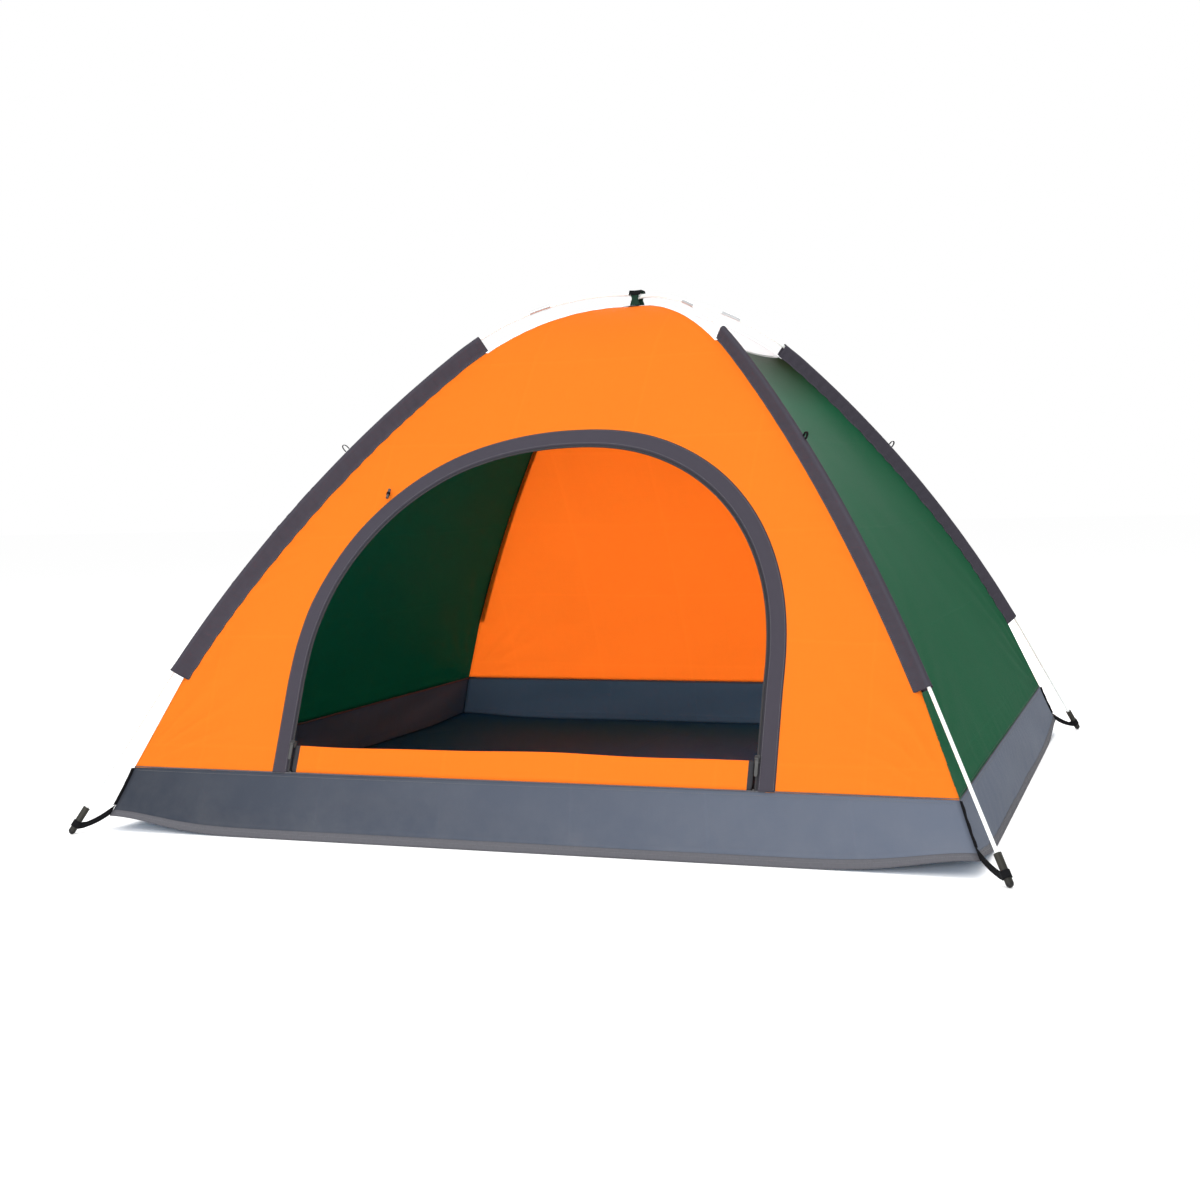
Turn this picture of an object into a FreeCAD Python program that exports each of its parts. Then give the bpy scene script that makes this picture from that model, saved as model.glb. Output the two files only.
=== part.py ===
import FreeCAD, Part
import math
import os

V = FreeCAD.Vector

# Two-pole dome tent, pitched, in millimetres and degrees.
# +Z is up, the door faces -Y, and the origin is on the ground under the crown.

# Footprint and height
floor_width = 2000.0          # ground sheet along X
floor_depth = 2000.0          # ground sheet along Y
crown_height = 1285.0         # middle of the two crossing poles
tub_height = 143.0            # top of the waterproof tub wall
tub_lean = 61.0               # how far a tub corner leans in, along the diagonal
foot_outset = 86.0            # pole foot past the ground sheet's corner

# Bend of the poles
crown_radius = 870.0
crown_sweep = 37.0            # slope where the crown arc ends
leg_length = 370.0            # straight stretch at the foot

# Poles
pole_diameter = 7.9
pole_bore = 3.6
section_count = 7
section_gap = 0.4
ferrule_length = 60.0
ferrule_wall = 0.8
shock_cord_diameter = 2.4
fit_clearance = 0.15          # pole in ferrule, pole in foot cap
crossing_gap = 0.6            # between the two poles where they cross

# Foot caps and corner webbing
cap_radius = 8.0
cap_length = 62.0
cap_solid_end = 10.0
tab_low = 30.0                # the webbing leaves the tub corner between these heights
tab_thickness = 2.0
tab_ring_length = 16.0
tab_ring_at = 10.0
tab_high = 54.0
tab_seam_width = 6.0          # how far it stands out of the seam above that

# Fabric
skin = 2.0                    # panels and tub walls
ground_sheet_thickness = 2.0
seam_gap = 0.3                # between sewn pieces
hip_drop = 28.0               # from the pole down to the seam between two panels

# Pole sleeves and the bare stretch at the crown
sleeve_top = 478.0            # along the pole from the crown
sleeve_bottom = 1615.0
sleeve_nose = 7.5
sleeve_half_base = 15.0
sleeve_wall = 1.2
hip_tape_width = 34.0
hip_tape_thickness = 1.2
crown_patch_size = 70.0
crown_patch_thickness = 1.2
guy_loop_at = 930.0           # along the pole from the crown
guy_loop_width = 14.0
guy_loop_reach = 18.0
guy_loop_thickness = 1.6

# Strap that ties the crossing poles to the crown
strap_waist = 17.0
strap_end_width = 26.0
strap_thickness = 1.6
strap_half_span = 20.0
strap_cover = 3.0             # between the strap and the upper pole
strap_tab_length = 30.0

# Door
door_half_width = 585.0
door_top = 920.0
door_spring = 380.0           # where the straight legs turn into the arch
door_fullness = 2.15          # 2 is an ellipse, more is squarer
border_width = 32.0
border_thickness = 1.6
panel_inset = 22.0            # edge of the panel behind the border
tape_thickness = 1.0
tape_inset = 38.0             # inner edge of the zip tape
chain_width = 5.0
chain_thickness = 3.4
flap_fold_height = 62.0       # part of the door that stays zipped above the tub
flap_thickness = 1.2
flap_heap_length = 330.0      # folded door cloth on the floor
flap_heap_height = 16.0

# Zip sliders and pulls
slider_width = 11.0
slider_length = 16.0
slider_thickness = 8.4
slider_clearance = 0.4
slider_height = 68.0          # rest place above the tub
bridge_radius = 1.2
bridge_rise = 3.0
cheek_thickness = 1.4
pull_length = 34.0
pull_width = 7.0
pull_thickness = 1.8
pull_eye_radius = 2.6
stop_length = 5.0

# Toggle that holds the rolled door
toggle_radius = 3.5
toggle_length = 26.0
toggle_height = 770.0
toggle_outset = 16.0
toggle_loop_width = 6.0
toggle_loop_thickness = 1.2

half_diagonal = math.hypot(floor_width, floor_depth) / 2
foot_radius = half_diagonal + foot_outset
tub_radius = half_diagonal - tub_lean
pole_radius = pole_diameter / 2
CORNERS = {
    "front_left": (-1, -1),
    "front_right": (1, -1),
    "back_left": (-1, 1),
    "back_right": (1, 1),
}
OVER_POLE_CORNERS = ("front_left", "back_right")
# Each side: its turn about Z from the front, half its length, and its reach from the middle.
SIDES = {
    "front": (0, floor_width / 2, floor_depth / 2),
    "right": (90, floor_depth / 2, floor_width / 2),
    "back": (180, floor_width / 2, floor_depth / 2),
    "left": (270, floor_depth / 2, floor_width / 2),
}
nodes = {}


class Arch:
    """One pole's centreline in an upright plane through a diagonal of the floor.

    A crown arc, two shoulder arcs and two straight legs, all tangent. Places along it are
    lengths from the crown, positive towards the given corner.
    """

    def __init__(self, height, corner):
        self.height = height
        sx, sy = corner
        self.along = V(sx * floor_width / 2, sy * floor_depth / 2, 0).normalize()
        self.aside = V(0, 0, 1).cross(self.along)
        self.sweep = math.radians(crown_sweep)
        start = (crown_radius * math.sin(self.sweep),
                 height - crown_radius * (1 - math.cos(self.sweep)))
        to_foot = (foot_radius - start[0], cap_radius - start[1])
        ahead = to_foot[0] * math.cos(self.sweep) - to_foot[1] * math.sin(self.sweep)
        down = -to_foot[0] * math.sin(self.sweep) - to_foot[1] * math.cos(self.sweep)
        turn = 2 * math.atan2(down, ahead + leg_length)
        self.shoulder_radius = (ahead - leg_length * math.cos(turn)) / math.sin(turn)
        self.slope = self.sweep + turn
        self.shoulder_centre = (
            start[0] - self.shoulder_radius * math.sin(self.sweep),
            start[1] - self.shoulder_radius * math.cos(self.sweep),
        )
        self.crown_end = crown_radius * self.sweep
        self.shoulder_end = self.crown_end + self.shoulder_radius * turn
        self.foot = self.shoulder_end + leg_length

    def slope_at(self, s):
        s = abs(s)
        if s < self.crown_end:
            return s / crown_radius
        if s < self.shoulder_end:
            return self.sweep + (s - self.crown_end) / self.shoulder_radius
        return self.slope

    def flat(self, s, lift=0.0):
        """Distance from the middle and height at s, lifted outwards from the centreline."""
        side = -1 if s < 0 else 1
        slope = self.slope_at(s)
        if abs(s) < self.crown_end:
            out = crown_radius * math.sin(slope)
            up = self.height - crown_radius * (1 - math.cos(slope))
        else:
            out = self.shoulder_centre[0] + self.shoulder_radius * math.sin(slope)
            up = self.shoulder_centre[1] + self.shoulder_radius * math.cos(slope)
            past = max(0.0, abs(s) - self.shoulder_end)
            out += past * math.cos(slope)
            up -= past * math.sin(slope)
        return side * (out + lift * math.sin(slope)), up + lift * math.cos(slope)

    def tangent(self, s):
        side = -1 if s < 0 else 1
        slope = self.slope_at(s)
        return self.along * math.cos(slope) - V(0, 0, side * math.sin(slope))

    def outward(self, s):
        side = -1 if s < 0 else 1
        slope = self.slope_at(s)
        return self.along * (side * math.sin(slope)) + V(0, 0, math.cos(slope))

    def point(self, s, lift=0.0, aside=0.0):
        out, up = self.flat(s, lift)
        return self.along * out + self.aside * aside + V(0, 0, up)

    def wire(self, start, end):
        """The centreline from start to end as arcs and lines."""
        marks = [-self.shoulder_end, -self.crown_end, self.crown_end, self.shoulder_end]
        stops = [start] + [m for m in marks if start < m < end] + [end]
        edges = []
        for a, b in zip(stops[:-1], stops[1:]):
            middle = (a + b) / 2
            if abs(middle) > self.shoulder_end:
                edges.append(Part.makeLine(self.point(a), self.point(b)))
            else:
                edges.append(Part.Arc(self.point(a), self.point(middle), self.point(b)).toShape())
        return Part.Wire(edges)

    def sweep_section(self, start, end, section):
        """Sweep a closed section, a function of a place that gives its wire, along the pole."""
        return self.wire(start, end).makePipeShell([section(start)], True, False)

    def rod(self, start, end, radius):
        return self.sweep_section(
            start, end,
            lambda s: Part.Wire(Part.makeCircle(radius, self.point(s), self.tangent(s))),
        )

    def tube(self, start, end, outer, inner):
        return self.rod(start, end, outer).cut(self.rod(start, end, inner))

    def polygon(self, s, corners):
        """A closed wire square to the pole at s, from (aside, lift) corners."""
        points = [self.point(s, lift, aside) for aside, lift in corners]
        return Part.makePolygon(points + [points[0]])


def box(low, high):
    size = V(*high) - V(*low)
    return Part.makeBox(size.x, size.y, size.z, V(*low))


def turned(shape, degrees):
    copy = shape.copy()
    copy.rotate(V(0, 0, 0), V(0, 0, 1), degrees)
    return copy


nominal_arch = Arch(crown_height, CORNERS["front_right"])


def hip_line(lift):
    """Seam between two panels from crown to tub, as (distance from the middle, height).

    It keeps hip_drop below the pole as far as the sleeve goes, then runs straight to the
    tub's corner. Lift moves the line outwards for the face of a layer.
    """
    first, last = crown_patch_size * 0.25, sleeve_bottom
    steps = 18
    places = [first + (last - first) * i / steps for i in range(steps + 1)]
    return [nominal_arch.flat(s, lift - hip_drop) for s in places]


def side_profile(reach, lift):
    """A side's outline from crown to tub, as (distance from the middle, height) points.

    The hip line seen square to the side, with lift added square to the cloth.
    """
    share = reach / half_diagonal
    line = [(out * share, up) for out, up in hip_line(0.0)]
    line.append((tub_radius * share, tub_height))
    moved = []
    for i, (out, up) in enumerate(line):
        before, after = line[max(i - 1, 0)], line[min(i + 1, len(line) - 1)]
        step = math.hypot(after[0] - before[0], after[1] - before[1])
        normal = ((before[1] - after[1]) / step, (after[0] - before[0]) / step)
        moved.append((out + lift * normal[0], up + lift * normal[1]))
    # The foot slides along its own straight stretch so that it stays at the tub's top.
    (a_out, a_up), (b_out, b_up) = moved[-2:]
    reach_down = (tub_height + seam_gap - a_up) / (b_up - a_up)
    moved[-1] = (a_out + (b_out - a_out) * reach_down, tub_height + seam_gap)
    return moved


def layer_face(reach, low, high):
    """Section of a cloth layer between two lifts, in the plane X = 0 with -Y outwards."""
    edges = []
    ends = []
    for lift in (low, high):
        points = [V(0, -out, up) for out, up in side_profile(reach, lift)]
        curve = Part.BSplineCurve()
        curve.interpolate(points[:-1])
        edges += [curve.toShape(), Part.makeLine(points[-2], points[-1])]
        ends.append((points[0], points[-1]))
    edges += [Part.makeLine(ends[0][0], ends[1][0]), Part.makeLine(ends[0][1], ends[1][1])]
    return Part.Face(Part.Wire(Part.__sortEdges__(edges)))


def wedge(half_length, reach):
    """Room of one side between the upright planes through the floor's diagonals."""
    ratio = half_length / reach
    tip = seam_gap * math.hypot(1, ratio) / ratio
    far = reach * 1.5
    half = ratio * (far - tip)
    corners = [V(0, -tip, -50), V(half, -far, -50), V(-half, -far, -50), V(0, -tip, -50)]
    return Part.Face(Part.makePolygon(corners)).extrude(V(0, 0, crown_height * 2))


def layer(side, low, high):
    """A cloth layer over one whole side, facing -Y, before it is turned into place."""
    _, half_length, reach = SIDES[side]
    section = layer_face(reach, low, high)
    section.translate(V(-half_length, 0, 0))
    return section.extrude(V(2 * half_length, 0, 0)).common(wedge(half_length, reach))


def between_heights(shape, low, high):
    span = floor_width + floor_depth
    return shape.common(box((-span, -span, low), (span, span, high)))


# --- Ground sheet and tub ------------------------------------------------------------------

nodes["ground_sheet"] = box(
    (-floor_width / 2, -floor_depth / 2, 0),
    (floor_width / 2, floor_depth / 2, ground_sheet_thickness),
)


def tub_wall(side):
    _, half_length, reach = SIDES[side]
    share = reach / half_diagonal
    bottom = ground_sheet_thickness + seam_gap
    lean = (reach - tub_radius * share) / tub_height
    outer_foot = reach - lean * bottom
    outer_top = tub_radius * share
    corners = [
        V(-half_length, -outer_foot, bottom),
        V(-half_length, -outer_top, tub_height),
        V(-half_length, -outer_top + skin, tub_height),
        V(-half_length, -outer_foot + skin, bottom),
    ]
    section = Part.Face(Part.makePolygon(corners + [corners[0]]))
    return section.extrude(V(2 * half_length, 0, 0)).common(wedge(half_length, reach))


# --- Panels, vents and door ----------------------------------------------------------------


def door_shape(inset):
    """The door's outline, moved inwards by inset, as a block that runs along Y."""
    half = door_half_width - inset
    rise = door_top - inset - door_spring
    steps = 12
    arch = []
    for i in range(steps + 1):
        angle = math.pi / 2 * i / steps
        across = half * abs(math.cos(angle)) ** (2 / door_fullness)
        up = door_spring + rise * math.sin(angle) ** (2 / door_fullness)
        arch.append((across, up))
    right = [V(x, 0, z) for x, z in arch]
    left = [V(-x, 0, z) for x, z in reversed(arch[:-1])]
    curve = Part.BSplineCurve()
    curve.interpolate(right + left)
    foot = [V(-half, 0, 0), V(half, 0, 0)]
    edges = [
        curve.toShape(),
        Part.makeLine(left[-1], foot[0]),
        Part.makeLine(foot[0], foot[1]),
        Part.makeLine(foot[1], right[0]),
    ]
    return Part.Face(Part.Wire(edges)).extrude(V(0, -floor_depth, 0))


def door_ring(outer_inset, inner_inset, low, high):
    """A band around the door, between two insets from its outline and two lifts."""
    ring = door_shape(outer_inset).cut(door_shape(inner_inset))
    return layer("front", low, high).common(ring)


vent_height = nominal_arch.flat(sleeve_top, -hip_drop)[1]
for side in SIDES:
    angle = SIDES[side][0]
    nodes["tub_wall_" + side] = turned(tub_wall(side), angle)
    panel = layer(side, -skin, 0)
    if side == "front":
        panel = panel.cut(door_shape(panel_inset))
    if side in ("left", "right"):
        vent = between_heights(panel, vent_height + seam_gap, crown_height)
        nodes["roof_vent_" + side] = turned(vent, angle)
        panel = between_heights(panel, 0, vent_height)
    nodes["panel_" + side] = turned(panel, angle)

chain_middle = -skin / 2
chain_outer = tape_inset + seam_gap
chain_inner = chain_outer + chain_width
nodes["door_border"] = door_ring(0, border_width, seam_gap, seam_gap + border_thickness)
nodes["door_zip_tape"] = door_ring(
    panel_inset + seam_gap, tape_inset,
    chain_middle - tape_thickness / 2, chain_middle + tape_thickness / 2,
)
nodes["door_zip_chain"] = door_ring(
    chain_outer, chain_inner,
    chain_middle - chain_thickness / 2, chain_middle + chain_thickness / 2,
)

# The front panel's straight stretch above the tub, which the zip sliders run along.
front_line = side_profile(SIDES["front"][2], 0.0)
leg_top, leg_foot = front_line[-2], front_line[-1]
leg_run = math.hypot(leg_foot[0] - leg_top[0], leg_foot[1] - leg_top[1])
leg_up = V(0, (leg_foot[0] - leg_top[0]) / leg_run, (leg_top[1] - leg_foot[1]) / leg_run)
leg_out = V(0, -leg_up.z, leg_up.y)
leg_origin = V(0, -leg_foot[0], leg_foot[1])


def on_leg(x, up, out=0.0):
    """A point of the front panel's straight stretch: across, up the cloth, off the cloth."""
    return leg_origin + V(x, 0, 0) + leg_up * up + leg_out * out


def on_leg_block(x_range, up_range, out_range):
    """A block square to the front panel's straight stretch."""
    x0, x1 = x_range
    ups = ((up_range[0], out_range[0]), (up_range[1], out_range[0]),
           (up_range[1], out_range[1]), (up_range[0], out_range[1]))
    corners = [on_leg(x0, up, out) for up, out in ups]
    return Part.Face(Part.makePolygon(corners + [corners[0]])).extrude(V(x1 - x0, 0, 0))


def door_flap():
    """The opened door: a strip still zipped above the tub, folded in and heaped inside."""
    side_gap = slider_width / 2 + 2 * slider_clearance
    half = door_half_width - (chain_outer + chain_width / 2) - side_gap
    strip_foot = on_leg(0, 2 * seam_gap, -seam_gap)
    fold = on_leg(0, flap_fold_height, -seam_gap)
    fold_in = fold + V(0, 5 * flap_thickness, 0)
    floor = ground_sheet_thickness + seam_gap
    hang_foot = V(0, fold_in.y, floor)
    heap_end = hang_foot + V(0, flap_heap_length, 0)
    down = V(0, flap_thickness, 0)
    section = [
        strip_foot, fold, fold_in + down,
        hang_foot + down + V(0, 0, flap_heap_height),
        heap_end + V(0, 0, flap_heap_height),
        heap_end, hang_foot, fold_in - V(0, 0, flap_thickness),
        fold + V(0, flap_thickness, -flap_thickness),
        strip_foot + V(0, flap_thickness, 0),
    ]
    face = Part.Face(Part.makePolygon(section + [section[0]]))
    face.translate(V(-half, 0, 0))
    return face.extrude(V(2 * half, 0, 0))


nodes["door_flap"] = door_flap()

# --- Zip sliders, pulls and stops ----------------------------------------------------------

chain_x = door_half_width - (chain_outer + chain_width / 2)
slider_top = chain_middle + slider_thickness / 2
bridge_out = slider_top + bridge_rise
pull_gap = slider_clearance


def slider(side):
    """A C-shaped body round the chain, with a bridge that carries the pull."""
    x = side * chain_x
    body = on_leg_block(
        (x - slider_width / 2, x + slider_width / 2),
        (slider_height - slider_length / 2, slider_height + slider_length / 2),
        (chain_middle - slider_thickness / 2, slider_top),
    )
    channel_half = chain_width / 2 + slider_clearance
    run = (slider_height - slider_length, slider_height + slider_length)
    channel = on_leg_block(
        (x - channel_half, x + channel_half), run,
        (chain_middle - chain_thickness / 2 - slider_clearance,
         chain_middle + chain_thickness / 2 + slider_clearance),
    )
    tape_side = sorted((x, x + side * slider_width))
    slot = on_leg_block(
        tape_side, run,
        (chain_middle - tape_thickness / 2 - slider_clearance,
         chain_middle + tape_thickness / 2 + slider_clearance),
    )
    body = body.cut(channel).cut(slot)
    for end in (-1, 1):
        inner = pull_width / 2 + pull_gap
        span = sorted((x + end * inner, x + end * (inner + cheek_thickness)))
        cheek = on_leg_block(
            span, (slider_height - pull_eye_radius, slider_height + pull_eye_radius),
            (slider_top - 0.5, bridge_out + bridge_radius + 0.4),
        )
        body = body.fuse(cheek)
    half_bridge = pull_width / 2 + pull_gap + cheek_thickness
    bridge = Part.makeCylinder(
        bridge_radius, 2 * half_bridge,
        on_leg(x - half_bridge, slider_height, bridge_out), V(1, 0, 0),
    )
    return body.fuse(bridge).removeSplitter()


def pull(side):
    """A flat tab with an eye round the slider's bridge; it hangs down the cloth."""
    x = side * chain_x
    eye = Part.makeCylinder(
        pull_eye_radius, pull_width,
        on_leg(x - pull_width / 2, slider_height, bridge_out), V(1, 0, 0),
    )
    tab = on_leg_block(
        (x - pull_width / 2, x + pull_width / 2),
        (slider_height - pull_length, slider_height),
        (bridge_out - pull_thickness / 2, bridge_out + pull_thickness / 2),
    )
    tip = Part.makeCylinder(
        pull_width / 2, pull_thickness,
        on_leg(x, slider_height - pull_length, bridge_out - pull_thickness / 2), leg_out,
    )
    hole = Part.makeCylinder(
        bridge_radius + fit_clearance, 2 * pull_width,
        on_leg(x - pull_width, slider_height, bridge_out), V(1, 0, 0),
    )
    return eye.fuse(tab).fuse(tip).cut(hole).removeSplitter()


stops = []
for name, side in (("left", -1), ("right", 1)):
    nodes["zip_slider_" + name] = slider(side)
    nodes["zip_pull_" + name] = pull(side)
    stops.append(on_leg_block(
        sorted((side * (chain_x - chain_width / 2 - seam_gap), side * (chain_x - slider_width / 2))),
        (2 * seam_gap, 2 * seam_gap + stop_length),
        (chain_middle - chain_thickness / 2, chain_middle + chain_thickness / 2),
    ))
nodes["zip_end_stops"] = Part.makeCompound(stops)

# --- Poles ---------------------------------------------------------------------------------


def corner_arch(name):
    """The arch of the pole that stands on this corner, measured towards the corner."""
    lift = pole_radius + crossing_gap / 2
    over = name in OVER_POLE_CORNERS
    return Arch(crown_height + (lift if over else -lift), CORNERS[name])


for pole, corner in (("over_pole", "front_left"), ("under_pole", "front_right")):
    arch = corner_arch(corner)
    end = arch.foot - cap_solid_end
    pitch = 2 * end / section_count
    joints = [-end + pitch * i for i in range(section_count + 1)]
    for i in range(section_count):
        nodes["{}_section_{}".format(pole, i + 1)] = arch.tube(
            joints[i] + section_gap / 2, joints[i + 1] - section_gap / 2,
            pole_radius, pole_bore / 2,
        )
    ferrule_inner = pole_radius + fit_clearance
    nodes[pole + "_ferrules"] = Part.makeCompound([
        arch.tube(s - ferrule_length / 2, s + ferrule_length / 2,
                  ferrule_inner + ferrule_wall, ferrule_inner)
        for s in joints[1:-1]
    ])
    nodes[pole + "_shock_cord"] = arch.rod(-end, end, shock_cord_diameter / 2)

# --- Sleeves, crown tapes and guy loops ----------------------------------------------------


def teardrop(arch, s, nose, half_base, depth):
    """Sleeve section: a round nose over the pole with two flanks down to a flat base."""
    reach = math.hypot(half_base, depth)
    angle = math.atan2(-depth, half_base) + math.acos(nose / reach)
    touch = (nose * math.cos(angle), nose * math.sin(angle))
    right = arch.point(s, touch[1], touch[0])
    left = arch.point(s, touch[1], -touch[0])
    base_right = arch.point(s, -depth, half_base)
    base_left = arch.point(s, -depth, -half_base)
    return Part.Wire([
        Part.Arc(right, arch.point(s, nose), left).toShape(),
        Part.makeLine(left, base_left),
        Part.makeLine(base_left, base_right),
        Part.makeLine(base_right, right),
    ])


def sleeve(arch, depth):
    outer = arch.sweep_section(
        sleeve_top, sleeve_bottom,
        lambda s: teardrop(arch, s, sleeve_nose, sleeve_half_base, depth),
    )
    inner = arch.sweep_section(
        sleeve_top, sleeve_bottom,
        lambda s: teardrop(arch, s, sleeve_nose - sleeve_wall,
                           sleeve_half_base - 2 * sleeve_wall, depth - sleeve_wall),
    )
    return outer.cut(inner)


def slab(arch, s, half_aside, half_along, low, high):
    """A block centred on the pole's line at s, between two lifts."""
    section = Part.Face(arch.polygon(s, [
        (-half_aside, low), (half_aside, low), (half_aside, high), (-half_aside, high),
    ]))
    section.translate(arch.tangent(s) * -half_along)
    return section.extrude(arch.tangent(s) * (2 * half_along))


def guy_loop(arch):
    """A small webbing loop that stands off the sleeve's nose."""
    foot = sleeve_nose + seam_gap
    half = guy_loop_width / 2
    rim = guy_loop_width / 4
    plate = slab(arch, guy_loop_at, guy_loop_thickness / 2, half, foot, foot + guy_loop_reach)
    eye = slab(arch, guy_loop_at, guy_loop_thickness, half - rim,
               foot + rim, foot + guy_loop_reach - rim)
    return plate.cut(eye)


def hip_tape(arch, depth):
    """White tape over the seam of two panels, under the bare stretch of pole."""
    low, high = -depth, -depth + hip_tape_thickness
    half = hip_tape_width / 2
    start = crown_patch_size / 2 * math.sqrt(2) + half
    return arch.sweep_section(
        start, sleeve_top - seam_gap,
        lambda s: arch.polygon(s, [(-half, low), (half, low), (half, high), (-half, high)]),
    )


crossing_lift = pole_radius + crossing_gap / 2
guy_loops = []
for name in CORNERS:
    arch = corner_arch(name)
    # The seam is one line for both poles, so the lower pole's sleeve is less deep.
    depth = hip_drop - seam_gap - (0 if name in OVER_POLE_CORNERS else crossing_lift)
    nodes["sleeve_" + name] = sleeve(arch, depth)
    nodes["hip_tape_" + name] = hip_tape(Arch(crown_height, CORNERS[name]), hip_drop - seam_gap)
    guy_loops.append(guy_loop(arch))
nodes["guy_loops"] = Part.makeCompound(guy_loops)

# --- Crown ---------------------------------------------------------------------------------

crown_seam = crown_height - hip_drop
patch_top = crown_seam + seam_gap + crown_patch_thickness
half_patch = crown_patch_size / 2
nodes["crown_patch"] = box(
    (-half_patch, -half_patch, crown_seam + seam_gap), (half_patch, half_patch, patch_top),
)
strap_foot = patch_top + seam_gap
strap_under = crown_height + crossing_lift + pole_radius + strap_cover
strap_top = strap_under + strap_thickness


def crown_strap():
    """A webbing loop over both poles, narrow at its waist, sewn down to the crown patch."""
    middle = (strap_foot + strap_top) / 2
    half_end, half_waist = strap_end_width / 2, strap_waist / 2
    outline = [
        (-half_end, strap_foot), (half_end, strap_foot), (half_waist, middle),
        (half_end, strap_under), (half_end, strap_top), (-half_end, strap_top),
        (-half_end, strap_under), (-half_waist, middle), (-half_end, strap_foot),
    ]
    leg = Part.Face(Part.makePolygon([V(x, 0, z) for x, z in outline]))
    front = leg.copy()
    front.translate(V(0, -strap_half_span - strap_thickness, 0))
    back = leg.copy()
    back.translate(V(0, strap_half_span, 0))
    top = box((-half_end, -strap_half_span - strap_thickness, strap_under),
              (half_end, strap_half_span + strap_thickness, strap_top))
    thickness = V(0, strap_thickness, 0)
    return front.extrude(thickness).fuse(back.extrude(thickness)).fuse(top).removeSplitter()


nodes["crown_strap"] = crown_strap()
nodes["crown_strap_tab"] = box(
    (-strap_end_width / 2 - 1, -strap_tab_length / 2, strap_top + seam_gap),
    (strap_end_width / 2 + 1, strap_tab_length / 2, strap_top + seam_gap + strap_thickness),
)

# --- Feet ----------------------------------------------------------------------------------


def foot_cap(arch):
    """A rubber cap on the pole's end; its round tip stands on the ground."""
    body = arch.rod(arch.foot - cap_length, arch.foot, cap_radius)
    body = body.fuse(Part.makeSphere(cap_radius, arch.point(arch.foot)))
    socket = arch.rod(arch.foot - cap_length - 1, arch.foot - cap_solid_end + seam_gap,
                      pole_radius + fit_clearance)
    return body.cut(socket)


def corner_tab(arch):
    """Folded webbing from a ring round the foot cap to the seam up the tub's corner."""
    ring_end = arch.foot - tab_ring_at
    ring_start = ring_end - tab_ring_length
    inner = cap_radius + seam_gap
    outer = inner + tab_thickness
    ring = arch.tube(ring_start, ring_end, outer, inner)

    def edge(up):
        """Distance out of the tub's corner at this height, with the seam's gap."""
        return half_diagonal - tub_lean * up / tub_height + 2 * seam_gap

    under = -(inner + outer) / 2
    seam_top = tub_height - 2 * seam_gap
    corners = [
        (edge(seam_top), seam_top), (edge(seam_top) + tab_seam_width, seam_top),
        (edge(tab_high) + tab_seam_width, tab_high), arch.flat(ring_start, under),
        arch.flat(ring_end, under), (edge(tab_low), tab_low),
    ]
    points = [arch.along * out - arch.aside * tab_thickness + V(0, 0, up)
              for out, up in corners]
    strip = Part.Face(Part.makePolygon(points + [points[0]]))
    return ring.fuse(strip.extrude(arch.aside * (2 * tab_thickness)))


for name in CORNERS:
    arch = corner_arch(name)
    nodes["foot_cap_" + name] = foot_cap(arch)
    nodes["corner_tab_" + name] = corner_tab(arch)

# --- Door toggle ---------------------------------------------------------------------------


def front_at(height):
    """A point of the front panel's middle at this height, with its up and out directions."""
    line = side_profile(SIDES["front"][2], 0.0)
    for (out_a, up_a), (out_b, up_b) in zip(line[:-1], line[1:]):
        if up_b <= height <= up_a:
            share = (up_a - height) / (up_a - up_b)
            run = math.hypot(out_b - out_a, up_a - up_b)
            up = V(0, (out_b - out_a) / run, (up_a - up_b) / run)
            return V(0, -(out_a + share * (out_b - out_a)), height), up, V(0, -up.z, up.y)
    raise ValueError("no panel at height {}".format(height))


loop_inner = toggle_radius + fit_clearance
loop_outer = loop_inner + toggle_loop_thickness
toggle_place, toggle_up, toggle_out = front_at(toggle_height)
door_share = (toggle_height - door_spring) / (door_top - door_spring)
door_across = door_half_width * (1 - door_share ** door_fullness) ** (1 / door_fullness)
toggle_axis = toggle_place + toggle_out * (2 * seam_gap + loop_outer) - V(
    door_across + toggle_outset, 0, 0)


def along_toggle(radius, length):
    return Part.makeCylinder(radius, length, toggle_axis - toggle_up * (length / 2), toggle_up)


nodes["door_toggle"] = along_toggle(toggle_radius, toggle_length)
nodes["door_toggle_loop"] = along_toggle(loop_outer, toggle_loop_width).cut(
    along_toggle(loop_inner, toggle_loop_width))

# --- Files ---------------------------------------------------------------------------------

os.makedirs("parts", exist_ok=True)
for name, shape in nodes.items():
    if not shape.isValid():
        print("not valid:", name)
    shape.exportStep("parts/" + name + ".step")
print(len(nodes), "nodes")
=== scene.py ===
import logging
import math
from dataclasses import dataclass, field
from enum import Enum
from typing import Callable, Sequence, Union

import bmesh
import bpy
from mathutils import Matrix, Vector, noise


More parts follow.
